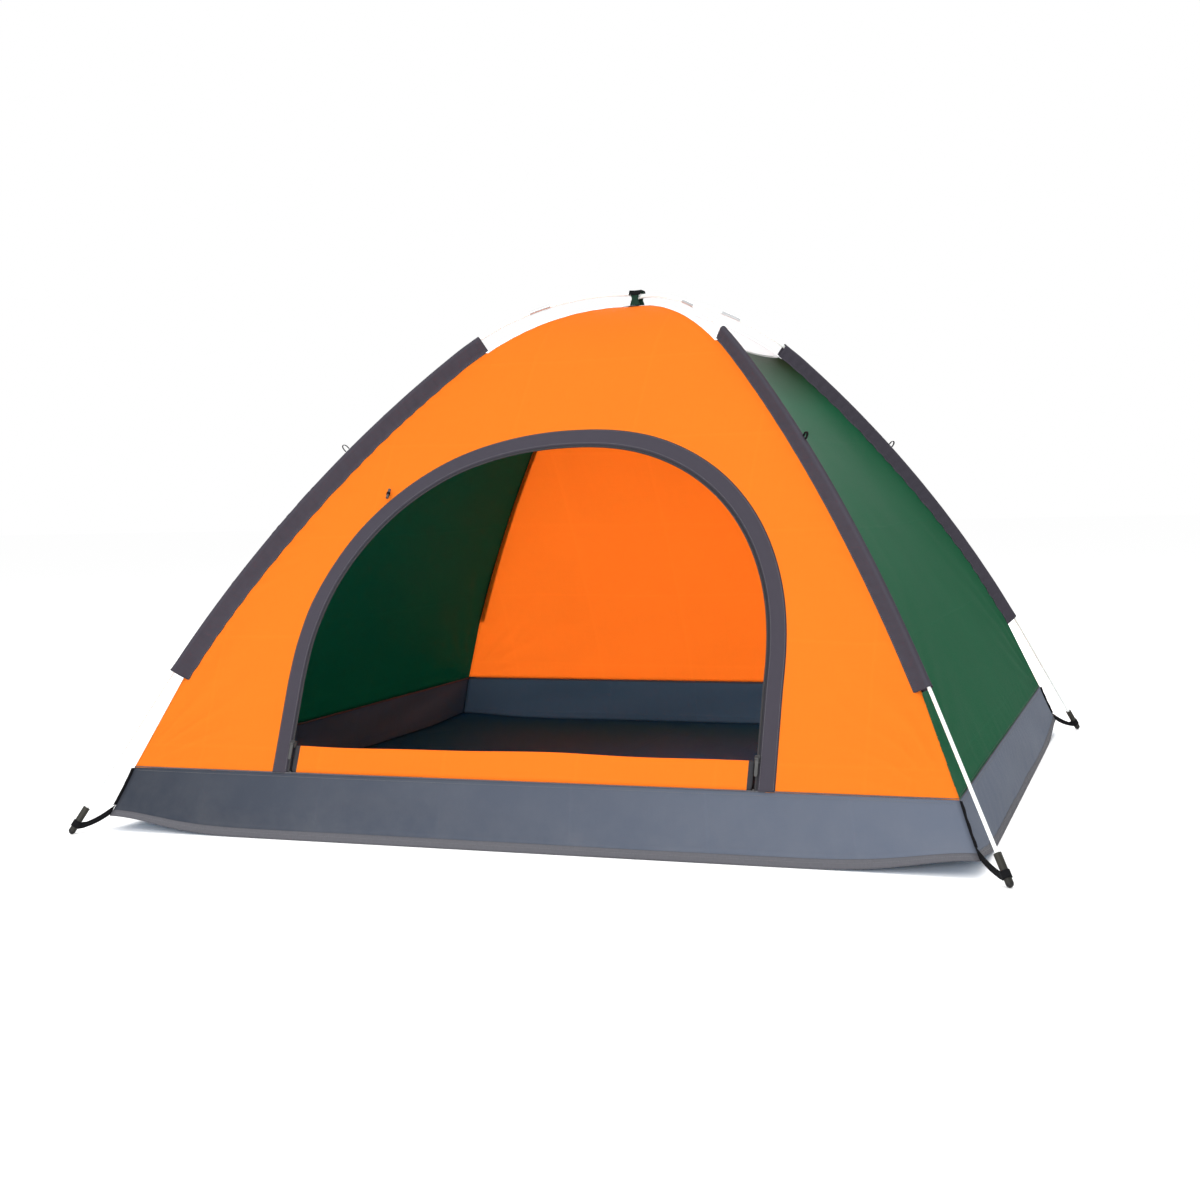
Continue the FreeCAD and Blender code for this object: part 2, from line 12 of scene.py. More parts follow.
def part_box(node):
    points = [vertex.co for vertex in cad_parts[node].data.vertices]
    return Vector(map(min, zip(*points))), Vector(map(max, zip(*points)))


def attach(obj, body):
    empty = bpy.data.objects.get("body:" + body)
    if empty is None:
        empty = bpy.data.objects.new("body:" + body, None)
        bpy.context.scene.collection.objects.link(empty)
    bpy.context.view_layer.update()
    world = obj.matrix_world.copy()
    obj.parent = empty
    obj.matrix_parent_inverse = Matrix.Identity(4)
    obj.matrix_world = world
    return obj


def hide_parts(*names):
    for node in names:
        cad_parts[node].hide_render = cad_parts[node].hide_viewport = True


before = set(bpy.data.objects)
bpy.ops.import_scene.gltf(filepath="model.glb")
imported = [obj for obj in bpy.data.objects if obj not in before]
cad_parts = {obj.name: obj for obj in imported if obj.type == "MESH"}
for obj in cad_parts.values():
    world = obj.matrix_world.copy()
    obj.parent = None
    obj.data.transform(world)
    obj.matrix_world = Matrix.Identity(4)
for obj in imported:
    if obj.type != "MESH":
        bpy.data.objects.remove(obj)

log = logging.getLogger("tent")
UV_NAME = "cloth"
TENT_BODY = "tent"
Number = Union[int, float]
Colour = tuple[float, float, float]


# --- Shape of the pitched tent -------------------------------------------------------------


class Corner(Enum):
    """A corner of the tent, with its direction along X and Y."""

    FRONT_LEFT = (-1, -1)
    FRONT_RIGHT = (1, -1)
    BACK_RIGHT = (1, 1)
    BACK_LEFT = (-1, 1)

    @property
    def key(self) -> str:
        """The corner's name as the CAD nodes write it."""
        return self.name.lower()

    @property
    def over(self) -> bool:
        """True where the pole that passes over the other one stands."""
        return self in (Corner.FRONT_LEFT, Corner.BACK_RIGHT)


class Side(Enum):
    """A side of the tent, as its turn about Z from the front in degrees."""

    FRONT = 0
    RIGHT = 90
    BACK = 180
    LEFT = 270

    @property
    def key(self) -> str:
        """The side's name as the CAD nodes write it."""
        return self.name.lower()


# The hip at each corner: the side whose +x edge it is, and the side whose -x edge it is.
HIP_SIDES = {
    Corner.FRONT_RIGHT: (Side.FRONT, Side.RIGHT),
    Corner.BACK_RIGHT: (Side.RIGHT, Side.BACK),
    Corner.BACK_LEFT: (Side.BACK, Side.LEFT),
    Corner.FRONT_LEFT: (Side.LEFT, Side.FRONT),
}


@dataclass(frozen=True)
class TentLines:
    """The lines that every piece of the tent follows, in metres and radians.

    A pole is a crown arc, a shoulder arc and a straight leg on each side of the crown. The
    seam between two panels, the hip, keeps a fixed drop below the pole and then runs
    straight to the tub's corner.
    """

    half_width: float
    half_depth: float
    crown_height: float = 1.285
    crown_radius: float = 0.870
    crown_sweep: float = math.radians(37)
    leg_length: float = 0.370
    foot_outset: float = 0.086
    foot_height: float = 0.008
    pole_radius: float = 0.00395
    crossing_gap: float = 0.0006
    hip_drop: float = 0.028
    sleeve_top: float = 0.478
    sleeve_bottom: float = 1.615
    tub_height: float = 0.143
    tub_lean: float = 0.061
    corner_lift: float = 0.034
    corner_lift_width: float = 0.17

    @property
    def half_diagonal(self) -> float:
        """Distance from the middle of the floor to its corner."""
        return math.hypot(self.half_width, self.half_depth)

    @property
    def tub_radius(self) -> float:
        """Distance from the middle to the top of a tub corner."""
        return self.half_diagonal - self.tub_lean

    def crossing_lift(self, corner: Corner) -> float:
        """How far the pole of this corner is above the mean of the two at the crown."""
        lift = self.pole_radius + self.crossing_gap / 2
        return lift if corner.over else -lift

    def lift_share(self, corner: Corner) -> float:
        """Share of the lift that a corner has: the back left one lies almost flat."""
        return 0.35 if corner is Corner.BACK_LEFT else 1.0

    def along(self, corner: Corner) -> Vector:
        """Unit vector from the middle towards a corner."""
        sx, sy = corner.value
        return Vector((sx * self.half_width, sy * self.half_depth, 0)).normalized()

    def aside(self, corner: Corner) -> Vector:
        """Unit vector square to the corner's upright plane, turned left from it."""
        return Vector((0, 0, 1)).cross(self.along(corner))


class PoleLine:
    """The centreline of half a pole, from the crown to one corner."""

    def __init__(self, lines: TentLines, corner: Corner, lift: float = 0.0) -> None:
        """Work out the shoulder arc that joins the crown arc to the leg.

        Args:
            lines: The tent's lines.
            corner: The corner that the pole stands on.
            lift: Height of this pole's crown above the mean crown.
        """
        self.lines = lines
        self.along = lines.along(corner)
        self.aside = lines.aside(corner)
        self.height = lines.crown_height + lift
        sweep, radius = lines.crown_sweep, lines.crown_radius
        start = (radius * math.sin(sweep), self.height - radius * (1 - math.cos(sweep)))
        ahead_out = lines.half_diagonal + lines.foot_outset - start[0]
        ahead_up = lines.foot_height - start[1]
        ahead = ahead_out * math.cos(sweep) - ahead_up * math.sin(sweep)
        down = -ahead_out * math.sin(sweep) - ahead_up * math.cos(sweep)
        turn = 2 * math.atan2(down, ahead + lines.leg_length)
        self.shoulder = (ahead - lines.leg_length * math.cos(turn)) / math.sin(turn)
        self.slope = sweep + turn
        self.centre = (start[0] - self.shoulder * math.sin(sweep),
                       start[1] - self.shoulder * math.cos(sweep))
        self.crown_end = radius * sweep
        self.shoulder_end = self.crown_end + self.shoulder * turn
        self.foot = self.shoulder_end + lines.leg_length

    def slope_at(self, s: float) -> float:
        """Downward slope at a distance s from the crown along the pole."""
        if s < self.crown_end:
            return s / self.lines.crown_radius
        if s < self.shoulder_end:
            return self.lines.crown_sweep + (s - self.crown_end) / self.shoulder
        return self.slope

    def flat(self, s: float, lift: float = 0.0) -> tuple[float, float]:
        """Distance from the middle and height at s, lifted outwards from the centreline."""
        slope = self.slope_at(s)
        if s < self.crown_end:
            out = self.lines.crown_radius * math.sin(slope)
            up = self.height - self.lines.crown_radius * (1 - math.cos(slope))
        else:
            past = max(0.0, s - self.shoulder_end)
            out = self.centre[0] + self.shoulder * math.sin(slope) + past * math.cos(slope)
            up = self.centre[1] + self.shoulder * math.cos(slope) - past * math.sin(slope)
        return out + lift * math.sin(slope), up + lift * math.cos(slope)

    def point(self, s: float, lift: float = 0.0, aside: float = 0.0) -> Vector:
        """A point near the pole: along it, outwards from it and to its side."""
        out, up = self.flat(s, lift)
        return self.along * out + self.aside * aside + Vector((0, 0, up))

    def tangent(self, s: float) -> Vector:
        """Unit vector along the pole towards its foot."""
        slope = self.slope_at(s)
        return self.along * math.cos(slope) - Vector((0, 0, math.sin(slope)))

    def outward(self, s: float) -> Vector:
        """Unit vector square to the pole, away from the tent."""
        slope = self.slope_at(s)
        return self.along * math.sin(slope) + Vector((0, 0, math.cos(slope)))


def smooth_step(low: float, high: float, value: float) -> float:
    """Smooth 0 to 1 as value goes from low to high."""
    share = min(1.0, max(0.0, (value - low) / (high - low)))
    return share * share * (3 - 2 * share)


@dataclass
class SideCloth:
    """One sloping side of the tent as a surface of (across, down) in metres.

    Across is 0 in the middle and grows to the right seen from outside. Down is the length
    along the cloth from the crown, so a pattern laid out in it isn't stretched.
    """

    lines: TentLines
    side: Side
    sag: float = 0.014
    rows: int = 420

    def __post_init__(self) -> None:
        """Tabulate the side's profile from the crown to the top of the tub."""
        lines = self.lines
        if self.side in (Side.FRONT, Side.BACK):
            self.half_length, self.reach = lines.half_width, lines.half_depth
        else:
            self.half_length, self.reach = lines.half_depth, lines.half_width
        share = self.reach / lines.half_diagonal
        pole = PoleLine(lines, Corner.FRONT_RIGHT)
        self.places, self.outs, self.ups = [], [], []
        for i in range(self.rows + 1):
            s = lines.sleeve_bottom * i / self.rows
            out, up = pole.flat(s, -lines.hip_drop)
            self._add(s, max(0.0, out) * share, up)
        straight = 40
        start_out, start_up = self.outs[-1], self.ups[-1]
        end_out = lines.tub_radius * share
        run = math.hypot(end_out - start_out, start_up - lines.tub_height)
        for i in range(1, straight + 1):
            part = i / straight
            self._add(lines.sleeve_bottom + run * part,
                      start_out + (end_out - start_out) * part,
                      start_up + (lines.tub_height - start_up) * part)
        self.downs = [0.0]
        for i in range(1, len(self.outs)):
            step = math.hypot(self.outs[i] - self.outs[i - 1], self.ups[i] - self.ups[i - 1])
            self.downs.append(self.downs[-1] + step)
        self.end = self.downs[-1]
        self.turn = Matrix.Rotation(math.radians(self.side.value), 4, "Z")

    def _add(self, s: float, out: float, up: float) -> None:
        """Add one row to the profile table."""
        self.places.append(s)
        self.outs.append(out)
        self.ups.append(up)

    @staticmethod
    def _find(table: Sequence[float], value: float) -> tuple[int, float]:
        """Index and share of value in a rising table."""
        low, high = 0, len(table) - 1
        if value <= table[0]:
            return 0, 0.0
        if value >= table[-1]:
            return high - 1, 1.0
        while high - low > 1:
            middle = (low + high) // 2
            if table[middle] <= value:
                low = middle
            else:
                high = middle
        return low, (value - table[low]) / (table[low + 1] - table[low])

    @staticmethod
    def _take(table: Sequence[float], place: tuple[int, float]) -> float:
        """The table's value at an index and share."""
        i, part = place
        return table[i] + (table[i + 1] - table[i]) * part

    def down_at_place(self, s: float) -> float:
        """Down along the cloth at a distance s from the crown along the pole."""
        return self._take(self.downs, self._find(self.places, s))

    def down_at_height(self, up: float) -> float:
        """Down along the cloth at a height above the ground."""
        place = self._find([-u for u in self.ups], -up)
        return self._take(self.downs, place)

    def height(self, down: float) -> float:
        """Height of the cloth before it sags."""
        return self._take(self.ups, self._find(self.downs, down))

    def half(self, down: float) -> float:
        """Half the side's length at this distance down, hip to middle."""
        out = self._take(self.outs, self._find(self.downs, down))
        return out * self.half_length / self.reach

    def sag_at(self, across: float, down: float) -> float:
        """How far the stretched cloth lies inside the straight lines between its hips."""
        half = max(self.half(down), 1e-6)
        from_hip = max(0.0, 1 - (across / half) ** 2)
        amount = self.sag * from_hip * math.sin(math.pi * min(1.0, down / self.end)) ** 0.8
        if self.side is Side.FRONT:
            amount *= smooth_step(0.36, 0.72, self.height(down))
        return amount

    def local(self, across: float, down: float, lift: float = 0.0) -> Vector:
        """A point of the cloth before the side is turned into place, -Y outwards."""
        place = self._find(self.downs, down)
        i = place[0]
        step = self.downs[i + 1] - self.downs[i]
        fall = (self.ups[i] - self.ups[i + 1]) / step
        run = (self.outs[i + 1] - self.outs[i]) / step
        off = lift - self.sag_at(across, down)
        out = self._take(self.outs, place) + off * fall
        return Vector((across, -out, self._take(self.ups, place) + off * run))

    def point(self, across: float, down: float, lift: float = 0.0) -> Vector:
        """A point of the cloth, lifted outwards, in the tent's own frame."""
        return self.turn @ self.local(across, down, lift)

    def corner_lift(self, point: Vector) -> float:
        """How far the webbing pulls the floor up at a point near a corner."""
        lines = self.lines
        gap = math.hypot(abs(point.x) - lines.half_width, abs(point.y) - lines.half_depth)
        share = lines.lift_share(Corner.BACK_LEFT) if point.x < 0 < point.y else 1.0
        return lines.corner_lift * share * math.exp(-(gap / lines.corner_lift_width) ** 2)

    def tub_point(self, across: float, rise: float, lift: float = 0.0) -> Vector:
        """A point of the tub wall.

        Args:
            across: Share of the wall's half length, -1 to 1.
            rise: Share of the wall's height, 0 at the floor and 1 at the seam.
            lift: Distance outwards.

        Returns:
            The point in the tent's own frame.
        """
        lines = self.lines
        share = self.reach / lines.half_diagonal
        top = lines.tub_radius * share
        out = self.reach + (top - self.reach) * rise + lift
        bow = 0.004 * math.sin(math.pi * rise) * (1 - across ** 4)
        half = (out - lift) * self.half_length / self.reach
        flat = self.turn @ Vector((across * half, -out - bow, lines.tub_height * rise))
        flat.z += self.corner_lift(flat) * (1 - rise) ** 1.3
        return flat


@dataclass(frozen=True)
class DoorLine:
    """The door's outline on the front panel, in (across, height)."""

    half_width: float = 0.585
    top: float = 0.920
    spring: float = 0.380
    fullness: float = 2.15
    chain_inset: float = 0.0408

    def outline(self, inset: float, foot: float, count: int) -> list[tuple[float, float]]:
        """Evenly spaced points from the left foot over the arch to the right foot.

        Args:
            inset: Distance inside the door's outer edge.
            foot: Height where both legs start.
            count: How many steps the outline has.

        Returns:
            The points as (across, height).
        """
        half, rise = self.half_width - inset, self.top - inset - self.spring
        fine = [(half, foot + (self.spring - foot) * i / 60) for i in range(60)]
        for i in range(181):
            angle = math.pi / 2 * i / 180
            fine.append((half * abs(math.cos(angle)) ** (2 / self.fullness),
                         self.spring + rise * math.sin(angle) ** (2 / self.fullness)))
        fine += [(-x, z) for x, z in reversed(fine[:-1])]
        fine.reverse()
        lengths = [0.0]
        for a, b in zip(fine[:-1], fine[1:]):
            lengths.append(lengths[-1] + math.hypot(b[0] - a[0], b[1] - a[1]))
        points, j = [], 0
        for i in range(count + 1):
            goal = lengths[-1] * i / count
            while j < len(lengths) - 2 and lengths[j + 1] < goal:
                j += 1
            part = (goal - lengths[j]) / (lengths[j + 1] - lengths[j])
            a, b = fine[j], fine[j + 1]
            points.append((a[0] + (b[0] - a[0]) * part, a[1] + (b[1] - a[1]) * part))
        return points


# --- Node graphs ---------------------------------------------------------------------------


class Socket:
    """An output of a node, with the sums that expressions on it need."""

    def __init__(self, graph: "Graph", link: bpy.types.NodeSocket) -> None:
        """Wrap one output socket of a graph."""
        self.graph = graph
        self.link = link

    def out(self, name: str) -> "Socket":
        """Another output of the same node, by name."""
        return Socket(self.graph, self.link.node.outputs[name])

    def _sum(self, operation: str, *values: Union["Socket", Number]) -> "Socket":
        """A Math node with this operation on the values."""
        return self.graph.node("ShaderNodeMath", {"operation": operation},
                               dict(enumerate(values)))

    def __add__(self, other: Union["Socket", Number]) -> "Socket":
        """Sum."""
        return self._sum("ADD", self, other)

    __radd__ = __add__

    def __sub__(self, other: Union["Socket", Number]) -> "Socket":
        """Difference."""
        return self._sum("SUBTRACT", self, other)

    def __rsub__(self, other: Union["Socket", Number]) -> "Socket":
        """Difference from a number."""
        return self._sum("SUBTRACT", other, self)

    def __mul__(self, other: Union["Socket", Number]) -> "Socket":
        """Product."""
        return self._sum("MULTIPLY", self, other)

    __rmul__ = __mul__

    def __truediv__(self, other: Union["Socket", Number]) -> "Socket":
        """Quotient."""
        return self._sum("DIVIDE", self, other)

    def __pow__(self, other: Union["Socket", Number]) -> "Socket":
        """Power."""
        return self._sum("POWER", self, other)

    def __gt__(self, other: Union["Socket", Number]) -> "Socket":
        """1 where greater, else 0."""
        return self._sum("GREATER_THAN", self, other)

    def sine(self) -> "Socket":
        """Sine of the value in radians."""
        return self._sum("SINE", self)

    def size(self) -> "Socket":
        """The value without its sign."""
        return self._sum("ABSOLUTE", self)

    def most(self, other: Union["Socket", Number]) -> "Socket":
        """The greater of two values."""
        return self._sum("MAXIMUM", self, other)

    def least(self, other: Union["Socket", Number]) -> "Socket":
        """The lesser of two values."""
        return self._sum("MINIMUM", self, other)

    def kept(self) -> "Socket":
        """The value held between 0 and 1."""
        return self.most(0.0).least(1.0)

    def wrap(self, period: float) -> "Socket":
        """The value within one period."""
        return self._sum("WRAP", self, period, 0.0)


Value = Union[Socket, Number, Colour, tuple, bpy.types.Material, bool]


class Graph:
    """Adds nodes to a shader or geometry tree."""

    def __init__(self, tree: bpy.types.NodeTree) -> None:
        """Write into this tree."""
        self.tree = tree

    def node(self, kind: str, settings: dict | None = None,
             inputs: dict | None = None, output: int | str | None = 0) -> Socket | None:
        """Add one node.

        Args:
            kind: The node's type.
            settings: Its own settings, set first; "stops" are a ramp's (place, colour).
            inputs: Socket name or index to a value or another node's output.
            output: Which output to return, or None at the end of a tree.

        Returns:
            The chosen output.
        """
        node = self.tree.nodes.new(kind)
        for name, value in (settings or {}).items():
            if name == "stops":
                self._set_stops(node.color_ramp, value)
            else:
                setattr(node, name, value)
        for name, value in (inputs or {}).items():
            if isinstance(value, Socket):
                self.tree.links.new(value.link, node.inputs[name])
            elif isinstance(value, tuple) and node.inputs[name].type == "RGBA":
                node.inputs[name].default_value = (*value, 1.0)
            else:
                node.inputs[name].default_value = value
        return None if output is None else Socket(self, node.outputs[output])

    @staticmethod
    def _set_stops(ramp: bpy.types.ColorRamp, stops: Sequence[tuple]) -> None:
        """Give a colour ramp these stops."""
        while len(ramp.elements) < len(stops):
            ramp.elements.new(1.0)
        for element, (place, shade) in zip(ramp.elements, stops):
            element.position = place
            element.color = (shade, shade, shade, 1.0)

    def mix(self, share: Union[Socket, float], a: Value, b: Value,
            blend: str = "MIX") -> Socket:
        """Mix two colours by share, 0 for a and 1 for b."""
        return self.node("ShaderNodeMix", {"data_type": "RGBA", "blend_type": blend},
                         {0: share, 6: a, 7: b}, 2)

    def ramp(self, value: Socket, *stops: tuple[float, float]) -> Socket:
        """Map a value through grey stops of (place, shade)."""
        return self.node("ShaderNodeValToRGB", {"stops": stops}, {0: value})

    def noise(self, place: Socket, scale: float, detail: float = 3.0,
              roughness: float = 0.55) -> Socket:
        """Noise from 0 to 1 at a place."""
        return self.node("ShaderNodeTexNoise", None,
                         {"Vector": place, "Scale": scale, "Detail": detail,
                          "Roughness": roughness})

    def scaled(self, place: Socket, by: tuple[float, float, float]) -> Socket:
        """A place multiplied part by part."""
        return self.node("ShaderNodeVectorMath", {"operation": "MULTIPLY"}, {0: place, 1: by})

    def parts(self, place: Socket) -> tuple[Socket, Socket, Socket]:
        """The X, Y and Z of a place."""
        split = self.node("ShaderNodeSeparateXYZ", None, {0: place})
        return split, split.out("Y"), split.out("Z")


# --- Finishes ------------------------------------------------------------------------------


@dataclass(frozen=True)
class Finish:
    """A surface finish, made once into a material."""

    name: str
    colour: Colour
    roughness: float = 0.55

    def start(self) -> tuple[bpy.types.Material, Graph]:
        """A new material with an empty node tree."""
        material = bpy.data.materials.new(self.name)
        material.use_nodes = True
        material.node_tree.nodes.clear()
        material.diffuse_color = (*self.colour, 1.0)
        return material, Graph(material.node_tree)

    @staticmethod
    def close(graph: Graph, shader: Socket) -> None:
        """Show a shader as the material's surface."""
        graph.node("ShaderNodeOutputMaterial", None, {"Surface": shader}, None)

    def build(self) -> bpy.types.Material:
        """The finished material."""
        raise NotImplementedError


@dataclass(frozen=True)
class WovenCloth(Finish):
    """Woven cloth whose threads run along the piece's own cloth coordinates, in metres."""

    thread: float = 0.0011
    weave_depth: float = 0.00012
    streaks: float = 0.05
    mottle: float = 0.10
    check: float = 0.0
    light_through: float = 0.0
    through_colour: Colour = (1.0, 1.0, 1.0)
    coat: float = 0.0
    sheen: float = 0.0
    gloss: float = 0.03
    # Painted light: how much the colour brightens towards +X on the object.
    painted_light_along_x: float = 0.0
    crease: float = 0.0
    dust: float = 0.0
    dust_height: float = 0.12
    holes: float = 0.0
    # Painted shade: a colour that the cloth darkens towards between two heights on the object.
    painted_shade: Colour | None = None
    painted_shade_from: float = 0.0
    painted_shade_to: float = 1.0

    def _weave(self, across: Socket, down: Socket) -> Socket:
        """Height of a plain weave, 0 to 1."""
        turn = math.pi / self.thread
        return ((across * turn).sine() * (down * turn).sine()).size()

    def _creases(self, graph: Graph, across: Socket, down: Socket) -> Socket:
        """Soft lines where the cloth was folded to be packed, 0 to 1."""
        lines = None
        for along, spacing, drift in ((across, 0.31, 0.013), (down, 0.27, 0.021)):
            wobble = graph.noise(graph.node("ShaderNodeCombineXYZ", None,
                                            {0: across, 1: down}), 3.0, 2.0)
            gap = ((along + wobble * drift).wrap(spacing) - spacing / 2).size()
            line = graph.ramp(gap * (1 / 0.006), (0.0, 1.0), (1.0, 0.0))
            lines = line if lines is None else lines + line
        return lines.kept()

    def build(self) -> bpy.types.Material:
        """The cloth's material."""
        material, graph = self.start()
        place = graph.node("ShaderNodeUVMap", {"uv_map": UV_NAME})
        across, down, _ = graph.parts(place)
        solid = graph.node("ShaderNodeTexCoord", output="Object")
        weave = self._weave(across, down)
        warp = graph.noise(graph.scaled(place, (900.0, 9.0, 1.0)), 1.0, 2.0)
        weft = graph.noise(graph.scaled(place, (9.0, 900.0, 1.0)), 1.0, 2.0)
        clouds = graph.noise(solid, 2.6, 4.0)
        grain = graph.noise(solid, 60.0, 3.0)
        shade = (warp + weft - 1.0) * self.streaks + (clouds - 0.5) * self.mottle
        shade = shade + (grain - 0.5) * self.mottle * 0.4 + 1.0
        # Painted light: the colour brightens steadily towards +X on the object, as if that side
        # were lit more.
        if self.painted_light_along_x:
            east, _, _ = graph.parts(solid)
            shade = shade * ((east + 1.0).least(2.0) * self.painted_light_along_x + (1.0 - self.painted_light_along_x))
        height = weave * self.weave_depth + (warp + weft) * (self.weave_depth * 0.5)
        if self.check:
            grid = None
            for along in (across, down):
                gap = (along.wrap(self.check) - self.check / 2).size()
                line = graph.ramp(gap * (1 / 0.0009), (0.35, 1.0), (1.0, 0.0))
                grid = line if grid is None else grid.most(line)
            height = height + grid * (self.weave_depth * 1.2)
            shade = shade * (1.0 - grid * 0.07)
        if self.crease:
            fold = self._creases(graph, across, down)
            height = height + fold * self.crease
            shade = shade * (1.0 + fold * 0.03)
        tint = graph.node("ShaderNodeCombineColor", None, {0: shade, 1: shade, 2: shade})
        colour = graph.mix(1.0, self.colour, tint, "MULTIPLY")
        # Painted shade: the colour darkens towards the shade colour as the object height rises
        # between the two given heights, broken up a little by the clouds noise.
        if self.painted_shade:
            _, _, up = graph.parts(solid)
            share = (up - self.painted_shade_from) / (self.painted_shade_to - self.painted_shade_from)
            wander = (clouds - 0.5) * 0.5
            colour = graph.mix((share + wander).kept() * 0.9, colour, self.painted_shade)
        if self.dust:
            _, _, up = graph.parts(solid)
            low = graph.ramp(up * (1 / self.dust_height), (0.0, 1.0), (1.0, 0.0))
            patches = graph.ramp(graph.noise(solid, 9.0, 5.0, 0.65), (0.38, 0.0), (0.75, 1.0))
            colour = graph.mix((low * 0.6 + 0.4) * patches * self.dust, colour,
                               (0.36, 0.34, 0.31))
        rough = (clouds - 0.5) * 0.12 + (grain - 0.5) * 0.10 + self.roughness
        bump = graph.node("ShaderNodeBump", None,
                          {"Strength": 0.8, "Distance": 1.0, "Height": height})
        sockets = {"Base Color": colour, "Roughness": rough, "Normal": bump,
                   "Sheen Weight": self.sheen, "Coat Weight": self.coat,
                   "Specular IOR Level": self.gloss,
                   "Coat Roughness": 0.35, "Sheen Roughness": 0.45}
        if self.holes:
            knit_a = ((across + down) * (math.pi / self.thread)).sine().size()
            knit_b = ((across - down) * (math.pi / self.thread)).sine().size()
            sockets["Alpha"] = 1.0 - graph.ramp(knit_a * knit_b, (0.45, 0.0), (0.62, 1.0)) \
                * self.holes
        shader = graph.node("ShaderNodeBsdfPrincipled", None, sockets)
        if self.light_through:
            glow = graph.mix(1.0, self.through_colour, tint, "MULTIPLY")
            through = graph.node("ShaderNodeBsdfTranslucent", None, {"Color": glow})
            shader = graph.node("ShaderNodeMixShader", None,
                                {0: self.light_through, 1: shader, 2: through})
        self.close(graph, shader)
        return material


@dataclass(frozen=True)
class Webbing(Finish):
    """Ribbed webbing or tape, with its ribs across the piece's cloth coordinates."""

    rib: float = 0.0016
    depth: float = 0.00025

    def build(self) -> bpy.types.Material:
        """The webbing's material."""
        material, graph = self.start()
        place = graph.node("ShaderNodeUVMap", {"uv_map": UV_NAME})
        across, down, _ = graph.parts(place)
        ribs = (down * (math.pi / self.rib)).sine().size()
        threads = (across * (math.pi / (self.rib * 0.6))).sine().size()
        fuzz = graph.noise(graph.scaled(place, (1.0, 1.0, 1.0)), 260.0, 3.0)
        # Rib tops lighter and the grooves between them darker: painted shade that follows the
        # ribs' relief; the fuzz is the webbing's own uneven tone.
        shade = ribs * 0.30 + fuzz * 0.35 + 0.68
        tint = graph.node("ShaderNodeCombineColor", None, {0: shade, 1: shade, 2: shade})
        colour = graph.mix(1.0, self.colour, tint, "MULTIPLY")
        height = (ribs + threads * 0.4 + fuzz * 0.4) * self.depth
        bump = graph.node("ShaderNodeBump", None,
                          {"Strength": 0.9, "Distance": 1.0, "Height": height})
        rough = fuzz * 0.2 + (self.roughness - 0.1)
        self.close(graph, graph.node("ShaderNodeBsdfPrincipled", None, {
            "Base Color": colour, "Roughness": rough, "Normal": bump,
            "Specular IOR Level": 0.06}))
        return material


@dataclass(frozen=True)
class Moulded(Finish):
    """Moulded rubber, plastic or painted metal with fine texture and rubbed patches."""

    metal: float = 0.0
    texture: float = 0.00005
    texture_scale: float = 900.0
    rubbed: Colour = (0.16, 0.16, 0.16)
    rub_share: float = 0.25
    coat: float = 0.0
    gloss: float = 0.5

    def build(self) -> bpy.types.Material:
        """The moulded material."""
        material, graph = self.start()
        solid = graph.node("ShaderNodeTexCoord", output="Object")
        fine = graph.noise(solid, self.texture_scale, 2.0)
        patches = graph.ramp(graph.noise(solid, 55.0, 5.0, 0.7), (0.52, 0.0), (0.72, 1.0))
        edge = graph.node("ShaderNodeNewGeometry", output="Pointiness")
        worn = graph.ramp(edge, (0.52, 0.0), (0.60, 1.0)) * 0.6 + patches * 0.4
        colour = graph.mix(worn * self.rub_share, self.colour, self.rubbed)
        rough = (fine - 0.5) * 0.12 + patches * 0.12 + self.roughness
        bump = graph.node("ShaderNodeBump", None, {
            "Strength": 0.7, "Distance": 1.0, "Height": fine * self.texture})
        self.close(graph, graph.node("ShaderNodeBsdfPrincipled", None, {
            "Base Color": colour, "Roughness": rough, "Metallic": self.metal,
            "Normal": bump, "Coat Weight": self.coat, "Coat Roughness": 0.2,
            "Specular IOR Level": self.gloss}))
        return material


@dataclass(frozen=True)
class GlassRod(Finish):
    """Pultruded fibreglass: pale, faintly streaked and speckled, with a thin resin gloss."""

    def build(self) -> bpy.types.Material:
        """The rod's material."""
        material, graph = self.start()
        solid = graph.node("ShaderNodeTexCoord", output="Object")
        streak = graph.noise(graph.scaled(solid, (420.0, 420.0, 22.0)), 1.0, 3.0)
        speck = graph.noise(solid, 700.0, 2.0)
        colour = graph.mix(streak * 0.5 + speck * 0.2, self.colour, (0.62, 0.66, 0.64))
        rough = streak * 0.2 + (self.roughness - 0.08)
        bump = graph.node("ShaderNodeBump", None, {
            "Strength": 0.5, "Distance": 1.0, "Height": streak * 0.00008})
        self.close(graph, graph.node("ShaderNodeBsdfPrincipled", None, {
            "Base Color": colour, "Roughness": rough, "Normal": bump,
            "Coat Weight": 0.35, "Coat Roughness": 0.12}))
        return material


